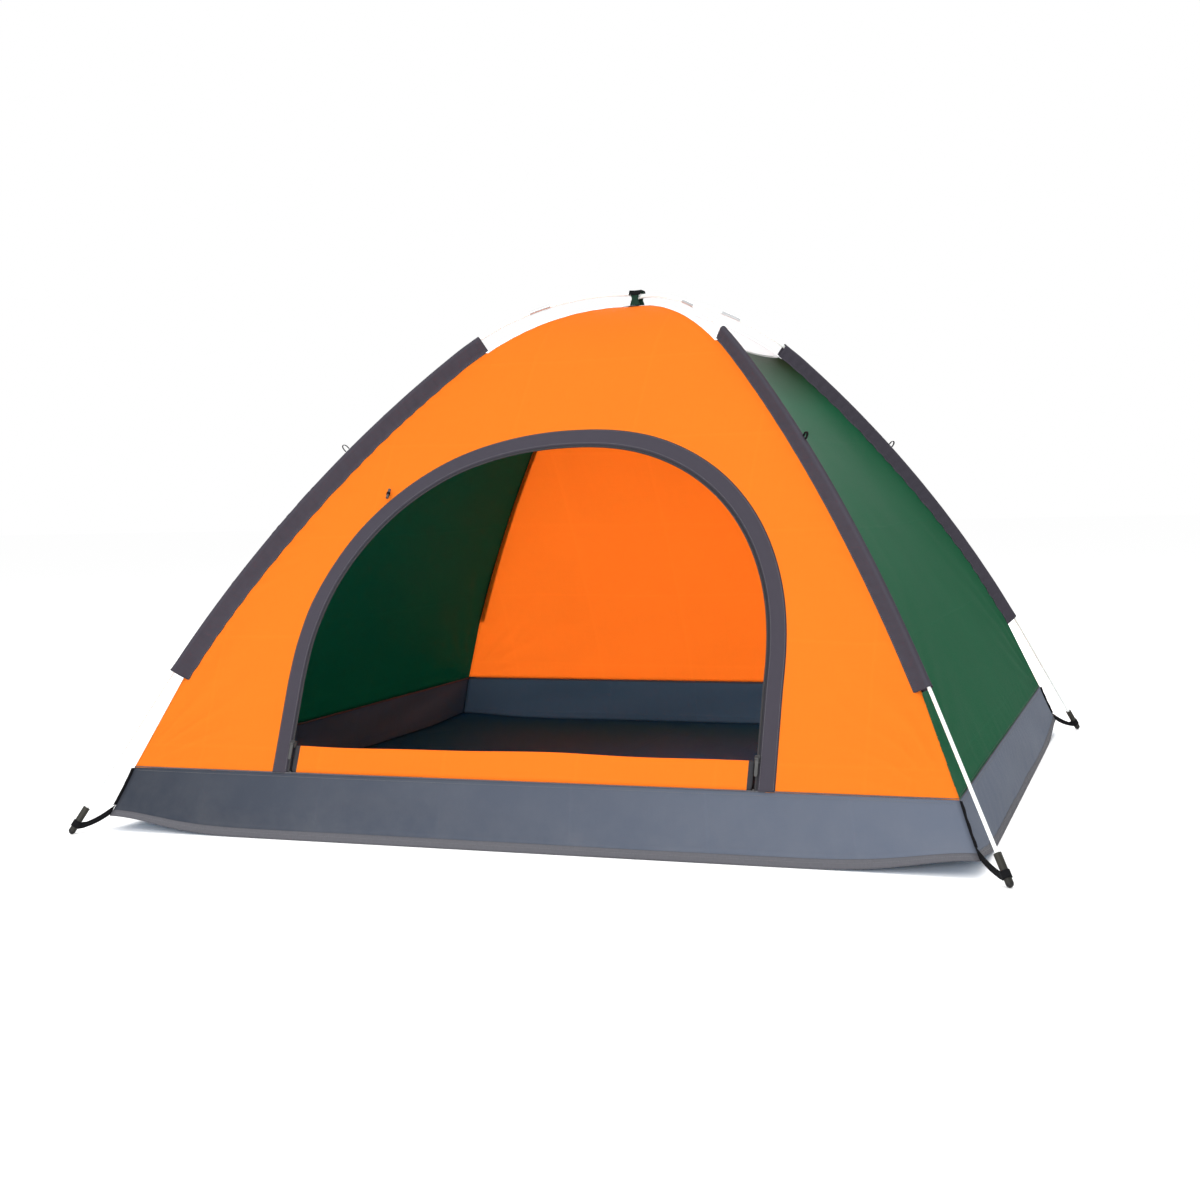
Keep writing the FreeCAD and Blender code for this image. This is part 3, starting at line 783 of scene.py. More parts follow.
class Finishes:
    """Every finish of the tent, made when it is first asked for."""

    RECIPES: dict[str, Finish] = {
        "orange_cloth": WovenCloth(
            "orange_cloth", (0.98, 0.290, 0.028), 0.62, crease=0.0006,
            light_through=0.58, through_colour=(1.0, 0.43, 0.12), mottle=0.06),
        # The green darkens towards a near black olive at the top of the panel: painted shade.
        "green_cloth": WovenCloth(
            "green_cloth", (0.012, 0.098, 0.044), 0.66, crease=0.0006,
            light_through=0.30, through_colour=(0.05, 0.36, 0.22), mottle=0.16,
            painted_shade=(0.020, 0.016, 0.006), painted_shade_from=0.98, painted_shade_to=1.12),
        # The slate cloth brightens towards +X with painted light.
        "tub_cloth": WovenCloth(
            "tub_cloth", (0.060, 0.070, 0.093), 0.60, thread=0.0014,
            weave_depth=0.00018, mottle=0.08, dust=0.07, crease=0.0005, painted_light_along_x=0.52),
        "floor_cloth": WovenCloth(
            "floor_cloth", (0.017, 0.095, 0.205), 0.55, thread=0.0026,
            weave_depth=0.0003, check=0.012, mottle=0.2, crease=0.0008),
        # Inner face of the tub walls: the slate made brighter and bluer than outside, painted
        # light that offsets the shade and the orange light inside.
        "tub_inner_face_painted_light": WovenCloth(
            "tub_inner_face_painted_light", (0.088, 0.145, 0.220), 0.60, thread=0.0014,
            weave_depth=0.00018, mottle=0.14, crease=0.0005),
        # Inner face of the green sides: the green tinted bluer than outside, painted light that
        # offsets the orange light inside.
        "green_inner_face_painted_light": WovenCloth(
            "green_inner_face_painted_light", (0.006, 0.105, 0.075), 0.62, crease=0.0006,
            light_through=0.30, through_colour=(0.03, 0.36, 0.24), mottle=0.16),
        "white_net": WovenCloth(
            "white_net", (0.90, 0.91, 0.92), 0.6, thread=0.0024, weave_depth=0.0002,
            light_through=0.35, through_colour=(0.9, 0.9, 0.9), holes=0.45, mottle=0.05),
        "white_tape": Webbing("white_tape", (0.86, 0.87, 0.87), 0.6, rib=0.0012),
        "sleeve_cloth": WovenCloth(
            "sleeve_cloth", (0.044, 0.040, 0.051), 0.66, thread=0.0016,
            weave_depth=0.00022, streaks=0.18, mottle=0.22),
        "black_webbing": Webbing("black_webbing", (0.005, 0.005, 0.006), 0.66),
        "green_webbing": Webbing("green_webbing", (0.010, 0.032, 0.022), 0.6, rib=0.0018),
        "grey_binding": Webbing("grey_binding", (0.085, 0.085, 0.096), 0.62, rib=0.0013),
        "zip_cloth": Webbing("zip_cloth", (0.030, 0.030, 0.034), 0.65, rib=0.0009),
        "zip_nylon": Moulded("zip_nylon", (0.022, 0.021, 0.025), 0.45, rub_share=0.15,
                             gloss=0.3),
        "zip_paint": Moulded("zip_paint", (0.010, 0.010, 0.011), 0.50, gloss=0.25,
                             rubbed=(0.16, 0.16, 0.155), rub_share=0.40),
        "ferrule_metal": Moulded("ferrule_metal", (0.62, 0.63, 0.64), 0.30, metal=1.0,
                                 rubbed=(0.40, 0.40, 0.41), texture_scale=500.0),
        "cap_rubber": Moulded("cap_rubber", (0.006, 0.006, 0.006), 0.50, gloss=0.25,
                              rubbed=(0.050, 0.045, 0.028), rub_share=0.45),
        "black_plastic": Moulded("black_plastic", (0.02, 0.02, 0.021), 0.42),
        "rod": GlassRod("rod", (0.86, 0.88, 0.86), 0.30),
        "elastic": Moulded("elastic", (0.78, 0.78, 0.76), 0.7, texture=0.0003,
                           rubbed=(0.45, 0.45, 0.46)),
        "orange_thread": Moulded("orange_thread", (0.80, 0.20, 0.03), 0.55),
        "dark_thread": Moulded("dark_thread", (0.10, 0.10, 0.11), 0.55),
        "green_thread": Moulded("green_thread", (0.05, 0.20, 0.11), 0.55),
    }

    def __init__(self) -> None:
        """Start with no material made."""
        self.made: dict[str, bpy.types.Material] = {}

    def get(self, name: str) -> bpy.types.Material:
        """The material of this name."""
        if name not in self.made:
            self.made[name] = self.RECIPES[name].build()
        return self.made[name]


# --- Meshes --------------------------------------------------------------------------------

Grid = list[list[Vector]]
Uv = tuple[float, float]


@dataclass
class Workshop:
    """Makes mesh pieces, dresses them and hangs them on their bodies."""

    finishes: Finishes
    count: int = 0

    def mesh(self, name: str, points: Sequence[Vector], faces: Sequence[Sequence[int]],
             uvs: Sequence[Uv], looks: Sequence[str],
             looks_of: Sequence[int] | None = None) -> bpy.types.Object:
        """Make a mesh object at the origin.

        Args:
            name: The piece's name.
            points: Its vertices, in metres in the tent's frame.
            faces: Vertex numbers of each face, anticlockwise from outside.
            uvs: Cloth coordinates of each vertex, in metres.
            looks: Names of its finishes.
            looks_of: Which finish each face has; the first where not given.

        Returns:
            The new object.
        """
        data = bpy.data.meshes.new(name)
        data.from_pydata([tuple(p) for p in points], [], [tuple(f) for f in faces])
        layer = data.uv_layers.new(name=UV_NAME)
        for polygon in data.polygons:
            polygon.use_smooth = True
            if looks_of is not None:
                polygon.material_index = looks_of[polygon.index]
            for loop in polygon.loop_indices:
                layer.data[loop].uv = uvs[data.loops[loop].vertex_index]
        for look in looks:
            data.materials.append(self.finishes.get(look))
        piece = bpy.data.objects.new(name, data)
        bpy.context.scene.collection.objects.link(piece)
        return piece

    def cloth(self, name: str, grid: Grid, uvs: list[list[Uv]], looks: Sequence[str],
              thickness: float = 0.0, looks_of: Callable[[int, int], int] | None = None,
              ring: bool = False, lined: bool = False) -> bpy.types.Object:
        """Make a sheet from rows of points that run down, each from left to right.

        Args:
            name: The piece's name.
            grid: Rows of points.
            uvs: Cloth coordinates of each point.
            looks: Names of its finishes.
            thickness: Thickness that a Solidify modifier adds.
            looks_of: Finish number of the face at a row and column.
            ring: True where the last column joins the first.
            lined: True where the second finish is that of the inner face.

        Returns:
            The new object.
        """
        rows, columns = len(grid), len(grid[0])
        faces, numbers = [], []
        for i in range(rows - 1):
            for j in range(columns if ring else columns - 1):
                k = (j + 1) % columns
                faces.append((i * columns + j, (i + 1) * columns + j,
                              (i + 1) * columns + k, i * columns + k))
                numbers.append(looks_of(i, j) if looks_of else 0)
        piece = self.mesh(name, [p for row in grid for p in row], faces,
                          [uv for row in uvs for uv in row], looks, numbers)
        if thickness:
            solid = piece.modifiers.new("thickness", "SOLIDIFY")
            solid.thickness = thickness
            solid.offset = -1.0
            solid.use_even_offset = False
            solid.material_offset = 1 if lined else 0
        return piece

    def ribbon(self, name: str, path: Sequence[Vector], across: Sequence[Vector],
               widths: Sequence[float], look: str, thickness: float,
               columns: int = 5, crown: float = 0.0) -> bpy.types.Object:
        """Make a strap that follows a path.

        Args:
            name: The piece's name.
            path: Points along its middle, running down as seen from outside.
            across: Unit vector to its right at each point.
            widths: Its width at each point.
            look: Name of its finish.
            thickness: Its thickness, added inwards.
            columns: Points across it.
            crown: How much its middle stands out from its edges.

        Returns:
            The new object.
        """
        grid, uvs, run = [], [], 0.0
        for i, middle in enumerate(path):
            if i:
                run += (middle - path[i - 1]).length
            ahead = path[min(i + 1, len(path) - 1)] - path[max(i - 1, 0)]
            out = across[i].cross(-ahead).normalized()
            row, uv = [], []
            for j in range(columns):
                share = 2 * j / (columns - 1) - 1
                row.append(middle + across[i] * (share * widths[i] / 2)
                           + out * (crown * (1 - share * share)))
                uv.append((share * widths[i] / 2, run))
            grid.append(row)
            uvs.append(uv)
        return self.cloth(name, grid, uvs, [look], thickness)

    def hang(self, piece: bpy.types.Object, slot: str, *nodes: str,
             body: str = TENT_BODY) -> bpy.types.Object:
        """Put a finished piece on its body, with the CAD nodes it stands for."""
        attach(piece, body)
        if nodes:
            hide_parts(*nodes)
        self.count += 1
        log.info("%s: %d faces", piece.name, len(piece.data.polygons))
        return piece

    def sheet(self, piece: bpy.types.Object, flat: tuple[float, float], held: str,
              rests_on: Sequence[str], share: float | None = None) -> None:
        """Work out the area of a piece's flat rectangle times the share of it that the piece
        fills; the area is kept nowhere.
        """
        area = None if share is None else flat[0] * flat[1] * share

    def dress(self, look: str, *nodes: str) -> None:
        """Give CAD nodes a finish."""
        for name in nodes:
            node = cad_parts[name]
            material = self.finishes.get(look)
            if not node.material_slots:
                node.data.materials.append(material)
            for slot in node.material_slots:
                slot.material = material
            log.info("%s: %s", name, look)


def level_grid(half_width: float, half_depth: float, steps: int,
               height: Callable[[float, float], float]) -> tuple[Grid, list[list[Uv]]]:
    """Grid of a sheet that lies level, from its back left corner.

    Args:
        half_width: Half its size along X.
        half_depth: Half its size along Y.
        steps: Steps along each side.
        height: Its height at a place.

    Returns:
        The grid and its cloth coordinates.
    """
    grid, uvs = [], []
    for i in range(steps + 1):
        y = half_depth * (1 - 2 * i / steps)
        places = [half_width * (2 * j / steps - 1) for j in range(steps + 1)]
        grid.append([Vector((x, y, height(x, y))) for x in places])
        uvs.append([(p.x, -p.y) for p in grid[-1]])
    return grid, uvs


def grid_area(grid: Grid) -> float:
    """Area of a grid of points."""
    total = 0.0
    for upper, lower in zip(grid[:-1], grid[1:]):
        for j in range(len(upper) - 1):
            total += (upper[j + 1] - lower[j]).cross(upper[j] - lower[j + 1]).length / 2
    return total


class Beading:
    """A Geometry Nodes tree that sets small rounded beads along lines: stitches, zip coils."""

    def __init__(self, shop: Workshop) -> None:
        """Build the tree with its named inputs."""
        self.shop = shop
        tree = bpy.data.node_groups.new("beads_along_line", "GeometryNodeTree")
        face = tree.interface
        face.new_socket(name="Line", in_out="INPUT", socket_type="NodeSocketGeometry")
        self.pitch = face.new_socket(name="Pitch", in_out="INPUT",
                                     socket_type="NodeSocketFloat").identifier
        self.size = face.new_socket(name="Size", in_out="INPUT",
                                    socket_type="NodeSocketVector").identifier
        self.uneven = face.new_socket(name="Unevenness", in_out="INPUT",
                                      socket_type="NodeSocketFloat").identifier
        self.finish = face.new_socket(name="Finish", in_out="INPUT",
                                      socket_type="NodeSocketMaterial").identifier
        face.new_socket(name="Beads", in_out="OUTPUT", socket_type="NodeSocketGeometry")
        graph = Graph(tree)
        start = graph.node("NodeGroupInput")
        line = graph.node("GeometryNodeMeshToCurve", None, {0: start.out("Line")})
        even = graph.node("GeometryNodeResampleCurve", {"mode": "LENGTH"},
                          {"Curve": line, "Length": start.out("Pitch")})
        bead = graph.node("GeometryNodeMeshUVSphere", None,
                          {"Segments": 6, "Rings": 4, "Radius": 1.0})
        along = graph.node("FunctionNodeAlignRotationToVector", {"axis": "Z"},
                           {"Vector": graph.node("GeometryNodeInputTangent")})
        outward = graph.node("GeometryNodeInputNamedAttribute",
                             {"data_type": "FLOAT_VECTOR"}, {"Name": "outward"})
        facing = graph.node("FunctionNodeAlignRotationToVector",
                            {"axis": "X", "pivot_axis": "Z"},
                            {"Rotation": along, "Vector": outward})
        vary = graph.node("FunctionNodeRandomValue", {"data_type": "FLOAT"},
                          {2: 1.0, 3: 1.0, "Seed": 7}, 1)
        spread = start.out("Unevenness")
        self._link_range(vary, 1 - spread, 1 + spread)
        size = graph.node("ShaderNodeVectorMath", {"operation": "SCALE"},
                          {0: start.out("Size"), "Scale": vary})
        beads = graph.node("GeometryNodeInstanceOnPoints", None, {
            "Points": even, "Instance": bead, "Rotation": facing, "Scale": size})
        real = graph.node("GeometryNodeRealizeInstances", None, {0: beads})
        done = graph.node("GeometryNodeSetMaterial", None,
                          {"Geometry": real, "Material": start.out("Finish")})
        graph.node("NodeGroupOutput", None, {0: done}, None)
        self.tree = tree

    @staticmethod
    def _link_range(vary: Socket, low: Socket, high: Socket) -> None:
        """Feed the random value's lowest and highest."""
        node = vary.link.node
        vary.graph.tree.links.new(low.link, node.inputs[2])
        vary.graph.tree.links.new(high.link, node.inputs[3])

    def run(self, name: str, lines: Sequence[Sequence[tuple[Vector, Vector]]], pitch: float,
            size: tuple[float, float, float], look: str, slot: str,
            uneven: float = 0.1, nodes: Sequence[str] = ()) -> bpy.types.Object:
        """Set beads along lines.

        Args:
            name: The piece's name.
            lines: Each line's points with the outward direction there.
            pitch: Distance from bead to bead.
            size: Half sizes of a bead outwards, across and along the line.
            look: Name of the finish.
            slot: A material slot's name; not used.
            uneven: How much the beads differ in size.
            nodes: CAD nodes that the piece stands for.

        Returns:
            The beads as one plain mesh.
        """
        points, edges, outs = [], [], []
        for line in lines:
            first = len(points)
            points += [tuple(p) for p, _ in line]
            outs += [tuple(n) for _, n in line]
            edges += [(first + i, first + i + 1) for i in range(len(line) - 1)]
        data = bpy.data.meshes.new(name + "_line")
        data.from_pydata(points, edges, [])
        layer = data.attributes.new("outward", "FLOAT_VECTOR", "POINT")
        layer.data.foreach_set("vector", [v for out in outs for v in out])
        guide = bpy.data.objects.new(name + "_line", data)
        bpy.context.scene.collection.objects.link(guide)
        modifier = guide.modifiers.new("beads", "NODES")
        modifier.node_group = self.tree
        modifier[self.pitch] = pitch
        modifier[self.size] = size
        modifier[self.uneven] = uneven
        modifier[self.finish] = self.shop.finishes.get(look)
        scene_state = bpy.context.evaluated_depsgraph_get()
        mesh = bpy.data.meshes.new_from_object(guide.evaluated_get(scene_state))
        mesh.name = name
        bpy.data.objects.remove(guide)
        bpy.data.meshes.remove(data)
        if not mesh.materials:
            mesh.materials.append(self.shop.finishes.get(look))
        piece = bpy.data.objects.new(name, mesh)
        bpy.context.scene.collection.objects.link(piece)
        return self.shop.hang(piece, slot, *nodes)


# --- Sub-assemblies ------------------------------------------------------------------------


@dataclass
class Cloths:
    """The four sloping sides with the small folds of real cloth."""

    lines: TentLines
    door: DoorLine
    sides: dict[Side, SideCloth] = field(default_factory=dict)
    pucker: float = 0.0020
    slack: float = 0.0065
    pull: float = 0.0042

    def __post_init__(self) -> None:
        """Lay out each side."""
        sags = {Side.FRONT: 0.010, Side.RIGHT: 0.018, Side.BACK: 0.018, Side.LEFT: 0.018}
        for side, sag in sags.items():
            self.sides[side] = SideCloth(self.lines, side, sag)

    def ripple(self, side: Side, across: float, down: float) -> float:
        """Height of the folds above the stretched cloth, 0 along every seam."""
        cloth = self.sides[side]
        half = cloth.half(down)
        seed = side.value * 0.37
        from_hip = max(0.0, half - abs(across))
        from_tub = max(0.0, cloth.end - down)
        drift = noise.noise(Vector((across * 6, down * 6, seed)))
        hip_wave = math.sin(2 * math.pi * (down / 0.047 + drift * 1.3))
        tub_wave = math.sin(2 * math.pi * (across / 0.061 + drift * 1.5))
        fold = self.pucker * hip_wave * math.exp(-from_hip / 0.035)
        fold += self.pucker * 1.1 * tub_wave * math.exp(-from_tub / 0.040)
        fold += self.slack * noise.noise(Vector((across * 1.9 + seed, down * 1.6, 4.2)))
        fold += self.slack * 0.35 * noise.noise(Vector((across * 5.3, down * 4.1, seed)))
        for sign in (-1, 1):
            gap_x = half - sign * across
            reach = math.hypot(gap_x, from_tub)
            angle = math.atan2(from_tub, max(gap_x, 1e-6))
            fold += (self.pull * math.sin(angle * 17 + drift * 2.5 + seed)
                     * math.exp(-reach / 0.33) * smooth_step(0.02, 0.14, reach))
        fold *= 0.25 + 0.75 * smooth_step(0.25, 0.62, down)
        edge = smooth_step(0.0, 0.016, min(from_hip, from_tub))
        if side is Side.FRONT:
            near_door = 1 - smooth_step(0.64, 0.74, abs(across))
            edge *= 1 - near_door * (1 - smooth_step(0.37, 0.55, cloth.height(down)))
        return fold * edge

    def point(self, side: Side, across: float, down: float, lift: float = 0.0) -> Vector:
        """A point of a side's cloth with its folds."""
        return self.sides[side].point(across, down, lift + self.ripple(side, across, down))

    def outward(self, side: Side, across: float, down: float) -> Vector:
        """Unit vector out of a side's cloth."""
        cloth = self.sides[side]
        return (cloth.point(across, down, 0.01) - cloth.point(across, down)).normalized()

    def door_row(self, inset: float, foot: float, lift: float,
                 steps: int) -> list[tuple[Vector, Vector]]:
        """A line that follows the door's outline.

        Args:
            inset: Distance inside the door's outer edge.
            foot: Height of the line's two ends.
            lift: Distance out of the panel.
            steps: Steps along the outline.

        Returns:
            Each point with the direction out of the cloth there.
        """
        line = []
        for x, z in self.door.outline(inset, foot, steps):
            down = self.sides[Side.FRONT].down_at_height(z)
            line.append((self.point(Side.FRONT, x, down, lift),
                         self.outward(Side.FRONT, x, down)))
        return line

    def hip_edge(self, corner: Corner, s: float, gap: float, second: bool,
                 lift: float = 0.0) -> Vector:
        """A point on a panel near the hip.

        Args:
            corner: The corner whose hip it is.
            s: Distance from the crown along the pole.
            gap: Distance from the hip into the panel.
            second: True for the panel to the right of the hip, seen from outside.
            lift: Distance out of the cloth.

        Returns:
            The point.
        """
        side = HIP_SIDES[corner][1 if second else 0]
        cloth = self.sides[side]
        down = cloth.down_at_place(s)
        across = max(0.0, cloth.half(down) - gap)
        return cloth.point(-across if second else across, down,
                           lift + self.ripple(side, across * (-1 if second else 1), down))


@dataclass
class Panels:
    """The orange, green and white cloth between the hips."""

    cloths: Cloths
    shop: Workshop
    thickness: float = 0.0008
    vent_bottom: float = 1.133
    top_gap: float = 0.012
    columns: int = 104
    row_height: float = 0.0125

    def _rows(self, start: float, end: float) -> list[float]:
        """Evenly spaced distances down the cloth."""
        count = max(4, round((end - start) / self.row_height))
        return [start + (end - start) * i / count for i in range(count + 1)]

    def strip(self, side: Side, start: float, end: float, lift: float = 0.0) -> tuple:
        """The grid and cloth coordinates of a side between two distances down."""
        grid, uvs = [], []
        for down in self._rows(start, end):
            half = self.cloths.sides[side].half(down)
            row, uv = [], []
            for j in range(self.columns + 1):
                share = 2 * j / self.columns - 1
                share = math.copysign(1 - (1 - abs(share)) ** 1.15, share)
                row.append(self.cloths.point(side, share * half, down, lift))
                uv.append((share * half, down))
            grid.append(row)
            uvs.append(uv)
        return grid, uvs

    def build_plain(self, side: Side, look: str, slot: str, start: float) -> None:
        """Make a whole panel from a distance down to the tub."""
        cloth = self.cloths.sides[side]
        grid, uvs = self.strip(side, start, cloth.end)
        # The green sides' inner face carries painted light: a bluer green than the outer face.
        looks = [look] if side is Side.BACK else [look, "green_inner_face_painted_light"]
        piece = self.shop.cloth("panel_" + side.key + "_cloth", grid, uvs, looks,
                                self.thickness, lined=side is not Side.BACK)
        self.shop.hang(piece, slot, "panel_" + side.key)
        width, length = 2 * cloth.half(cloth.end), cloth.end - start
        self.shop.sheet(piece, (width, length), "stretched", ["tub_wall_" + side.key],
                        min(1.0, grid_area(grid) / (width * length)))

    def build_vent(self, side: Side, end: float) -> None:
        """Make the net above a green panel."""
        cloth = self.cloths.sides[side]
        grid, uvs = self.strip(side, self.top_gap, end)
        name = "roof_vent_" + side.key
        piece = self.shop.cloth(name + "_net", grid, uvs, ["white_net"], 0.0006)
        self.shop.hang(piece, "white_mesh", name)
        width, length = 2 * cloth.half(end), end - self.top_gap
        self.shop.sheet(piece, (width, length), "stretched", ["panel_" + side.key],
                        max(0.31, min(1.0, grid_area(grid) / (width * length))))

    def build_front(self) -> None:
        """Make the front panel round its door."""
        cloth = self.cloths.sides[Side.FRONT]
        door = self.cloths.door
        steps, rows = 300, 44
        centre = cloth.down_at_height(door.spring)
        tub = self.cloths.lines.tub_height
        inner = door.outline(0.020, tub, steps)
        grid = [[] for _ in range(rows + 1)]
        uvs = [[] for _ in range(rows + 1)]
        flat = 0.0
        for x, z in inner:
            down = cloth.down_at_height(z)
            hip = self._hip_hit(cloth, x, down, centre)
            edge = math.copysign(cloth.half(hip), x) if abs(x) > 1e-9 else 0.0
            for i in range(rows + 1):
                share = i / rows
                across = edge + (x - edge) * share
                place = hip + (down - hip) * share
                grid[i].append(self.cloths.point(Side.FRONT, across, place))
                uvs[i].append((across, place))
        piece = self.shop.cloth("panel_front_cloth", grid, uvs, ["orange_cloth"],
                                self.thickness)
        self.shop.hang(piece, "orange_polyester", "panel_front")
        width, length = 2 * cloth.half(cloth.end), cloth.end
        flat = grid_area(grid) / (width * length)
        self.shop.sheet(piece, (width, length), "stretched", ["tub_wall_front"],
                        min(1.0, max(0.31, flat)))

    def _hip_hit(self, cloth: SideCloth, x: float, down: float, centre: float) -> float:
        """Distance down where the ray from the door's middle through a point meets a hip."""
        if down >= centre:
            return down
        goal = math.atan2(abs(x), centre - down)
        low, high = self.top_gap, centre
        for _ in range(40):
            middle = (low + high) / 2
            if math.atan2(cloth.half(middle), centre - middle) < goal:
                low = middle
            else:
                high = middle
        return low

    def build(self) -> None:
        """Make every panel and vent."""
        self.build_front()
        self.build_plain(Side.BACK, "orange_cloth", "orange_polyester", self.top_gap)
        for side in (Side.LEFT, Side.RIGHT):
            seam = self.cloths.sides[side].down_at_height(self.vent_bottom)
            self.build_plain(side, "green_cloth", "green_polyester", seam)
            self.build_vent(side, seam + 0.006)


@dataclass
class Tub:
    """The ground sheet and the walls that stand round it."""

    cloths: Cloths
    shop: Workshop
    thickness: float = 0.0011
    binding: float = 0.021

    def wall_point(self, side: Side, across: float, rise: float, lift: float = 0.0) -> Vector:
        """A point of a wall with its folds."""
        cloth = self.cloths.sides[side]
        length = across * cloth.half_length
        seed = side.value * 0.11
        drift = noise.noise(Vector((length * 3.1, rise * 2, seed)))
        fold = 0.0075 * noise.noise(Vector((length * 3.0, rise * 1.6 + seed, 1.7)))
        fold += 0.0018 * math.sin(2 * math.pi * (length / 0.052 + drift)) * rise ** 3
        fold += 0.0016 * math.sin(2 * math.pi * (length / 0.070 - drift)) * (1 - rise) ** 3
        fold += 0.004 * math.sin(length * 9 + rise * 3 + seed) * math.sin(math.pi * rise)
        fold *= math.sin(math.pi * min(max(rise, 0.0), 1.0)) ** 0.6 if 0 < rise < 1 else 0
        fold *= 1 - abs(across) ** 8
        lap = 0.0014 * smooth_step(0.90, 1.0, rise) * (1 - abs(across) ** 40)
        return cloth.tub_point(across, rise, lift + fold + lap)

    def build_wall(self, side: Side) -> None:
        """Make one wall and its binding at the floor."""
        cloth = self.cloths.sides[side]
        columns, rows = 150, 16
        height = math.hypot(self.cloths.lines.tub_height, self.cloths.lines.tub_lean * 0.7)
        grid, uvs = [], []
        for i in range(rows + 1):
            rise = 1 - i / rows
            row = [self.wall_point(side, 2 * j / columns - 1, rise)
                   for j in range(columns + 1)]
            grid.append(row)
            uvs.append([((2 * j / columns - 1) * cloth.half_length, i / rows * height)
                        for j in range(columns + 1)])
        # The wall's inner face carries painted light: brighter and bluer than the outer face.
        piece = self.shop.cloth("tub_wall_" + side.key + "_cloth", grid, uvs,
                                ["tub_cloth", "tub_inner_face_painted_light"], self.thickness, lined=True)
        self.shop.hang(piece, "slate_oxford", "tub_wall_" + side.key)
        self.shop.sheet(piece, (2 * cloth.half_length, height), "stretched",
                        ["ground_sheet_cloth"])
        self._bind(side, "tub_binding_" + side.key, 0.0, self.binding / height, 0.0012)
        path, across, widths = [], [], []
        turn = cloth.turn.to_3x3()
        for j in range(81):
            share = 1 - 2 * j / 80
            path.append(self.wall_point(side, share, 0.99, -0.0022))
            across.append(turn @ Vector((0, 0.25, -1)).normalized())
            widths.append(0.009)
        inner = self.shop.ribbon("tub_seam_tape_" + side.key, path, across, widths,
                                 "grey_binding", 0.0006)
        self.shop.hang(inner, "charcoal_fabric")

    def _bind(self, side: Side, name: str, low: float, high: float, lift: float) -> None:
        """Make a bound edge between two shares of the wall's height."""
        grid, uvs = [], []
        half = self.cloths.sides[side].half_length
        for i in range(5):
            rise = high + (low - high) * i / 4
            bulge = lift * (0.35 + 0.65 * math.sin(math.pi * (i + 0.5) / 5))
            grid.append([self.wall_point(side, 2 * j / 120 - 1, rise, bulge)
                         for j in range(121)])
            uvs.append([(i * 0.0025, (2 * j / 120 - 1) * half) for j in range(121)])
        piece = self.shop.cloth(name, grid, uvs, ["grey_binding"], 0.0008)
        self.shop.hang(piece, "slate_oxford")

    def floor_height(self, x: float, y: float) -> float:
        """Height of the ground sheet's top at a place."""
        lines = self.cloths.lines
        lift = self.cloths.sides[Side.FRONT].corner_lift(Vector((x, y, 0)))
        fold = 0.5 + 0.5 * noise.noise(Vector((x * 3.2, y * 3.2, 8.1)))
        ridge = 1 - abs(noise.noise(Vector((x * 1.7 + 3, y * 2.1, 2.2)))) * 3.2
        edge = min(lines.half_width - abs(x), lines.half_depth - abs(y))
        calm = smooth_step(0.0, 0.06, edge)
        return 0.0012 + lift + calm * (0.0035 * fold + 0.0045 * max(0.0, ridge) ** 3)

    def build_floor(self) -> None:
        """Make the ground sheet."""
        lines = self.cloths.lines
        grid, uvs = level_grid(lines.half_width, lines.half_depth, 110, self.floor_height)
        piece = self.shop.cloth("ground_sheet_cloth", grid, uvs, ["floor_cloth"], 0.0010)
        self.shop.hang(piece, "floor_cloth", "ground_sheet")
        self.shop.sheet(piece, (2 * lines.half_width, 2 * lines.half_depth), "laid", [])

    def build(self) -> None:
        """Make the whole tub."""
        self.build_floor()
        for side in Side:
            self.build_wall(side)


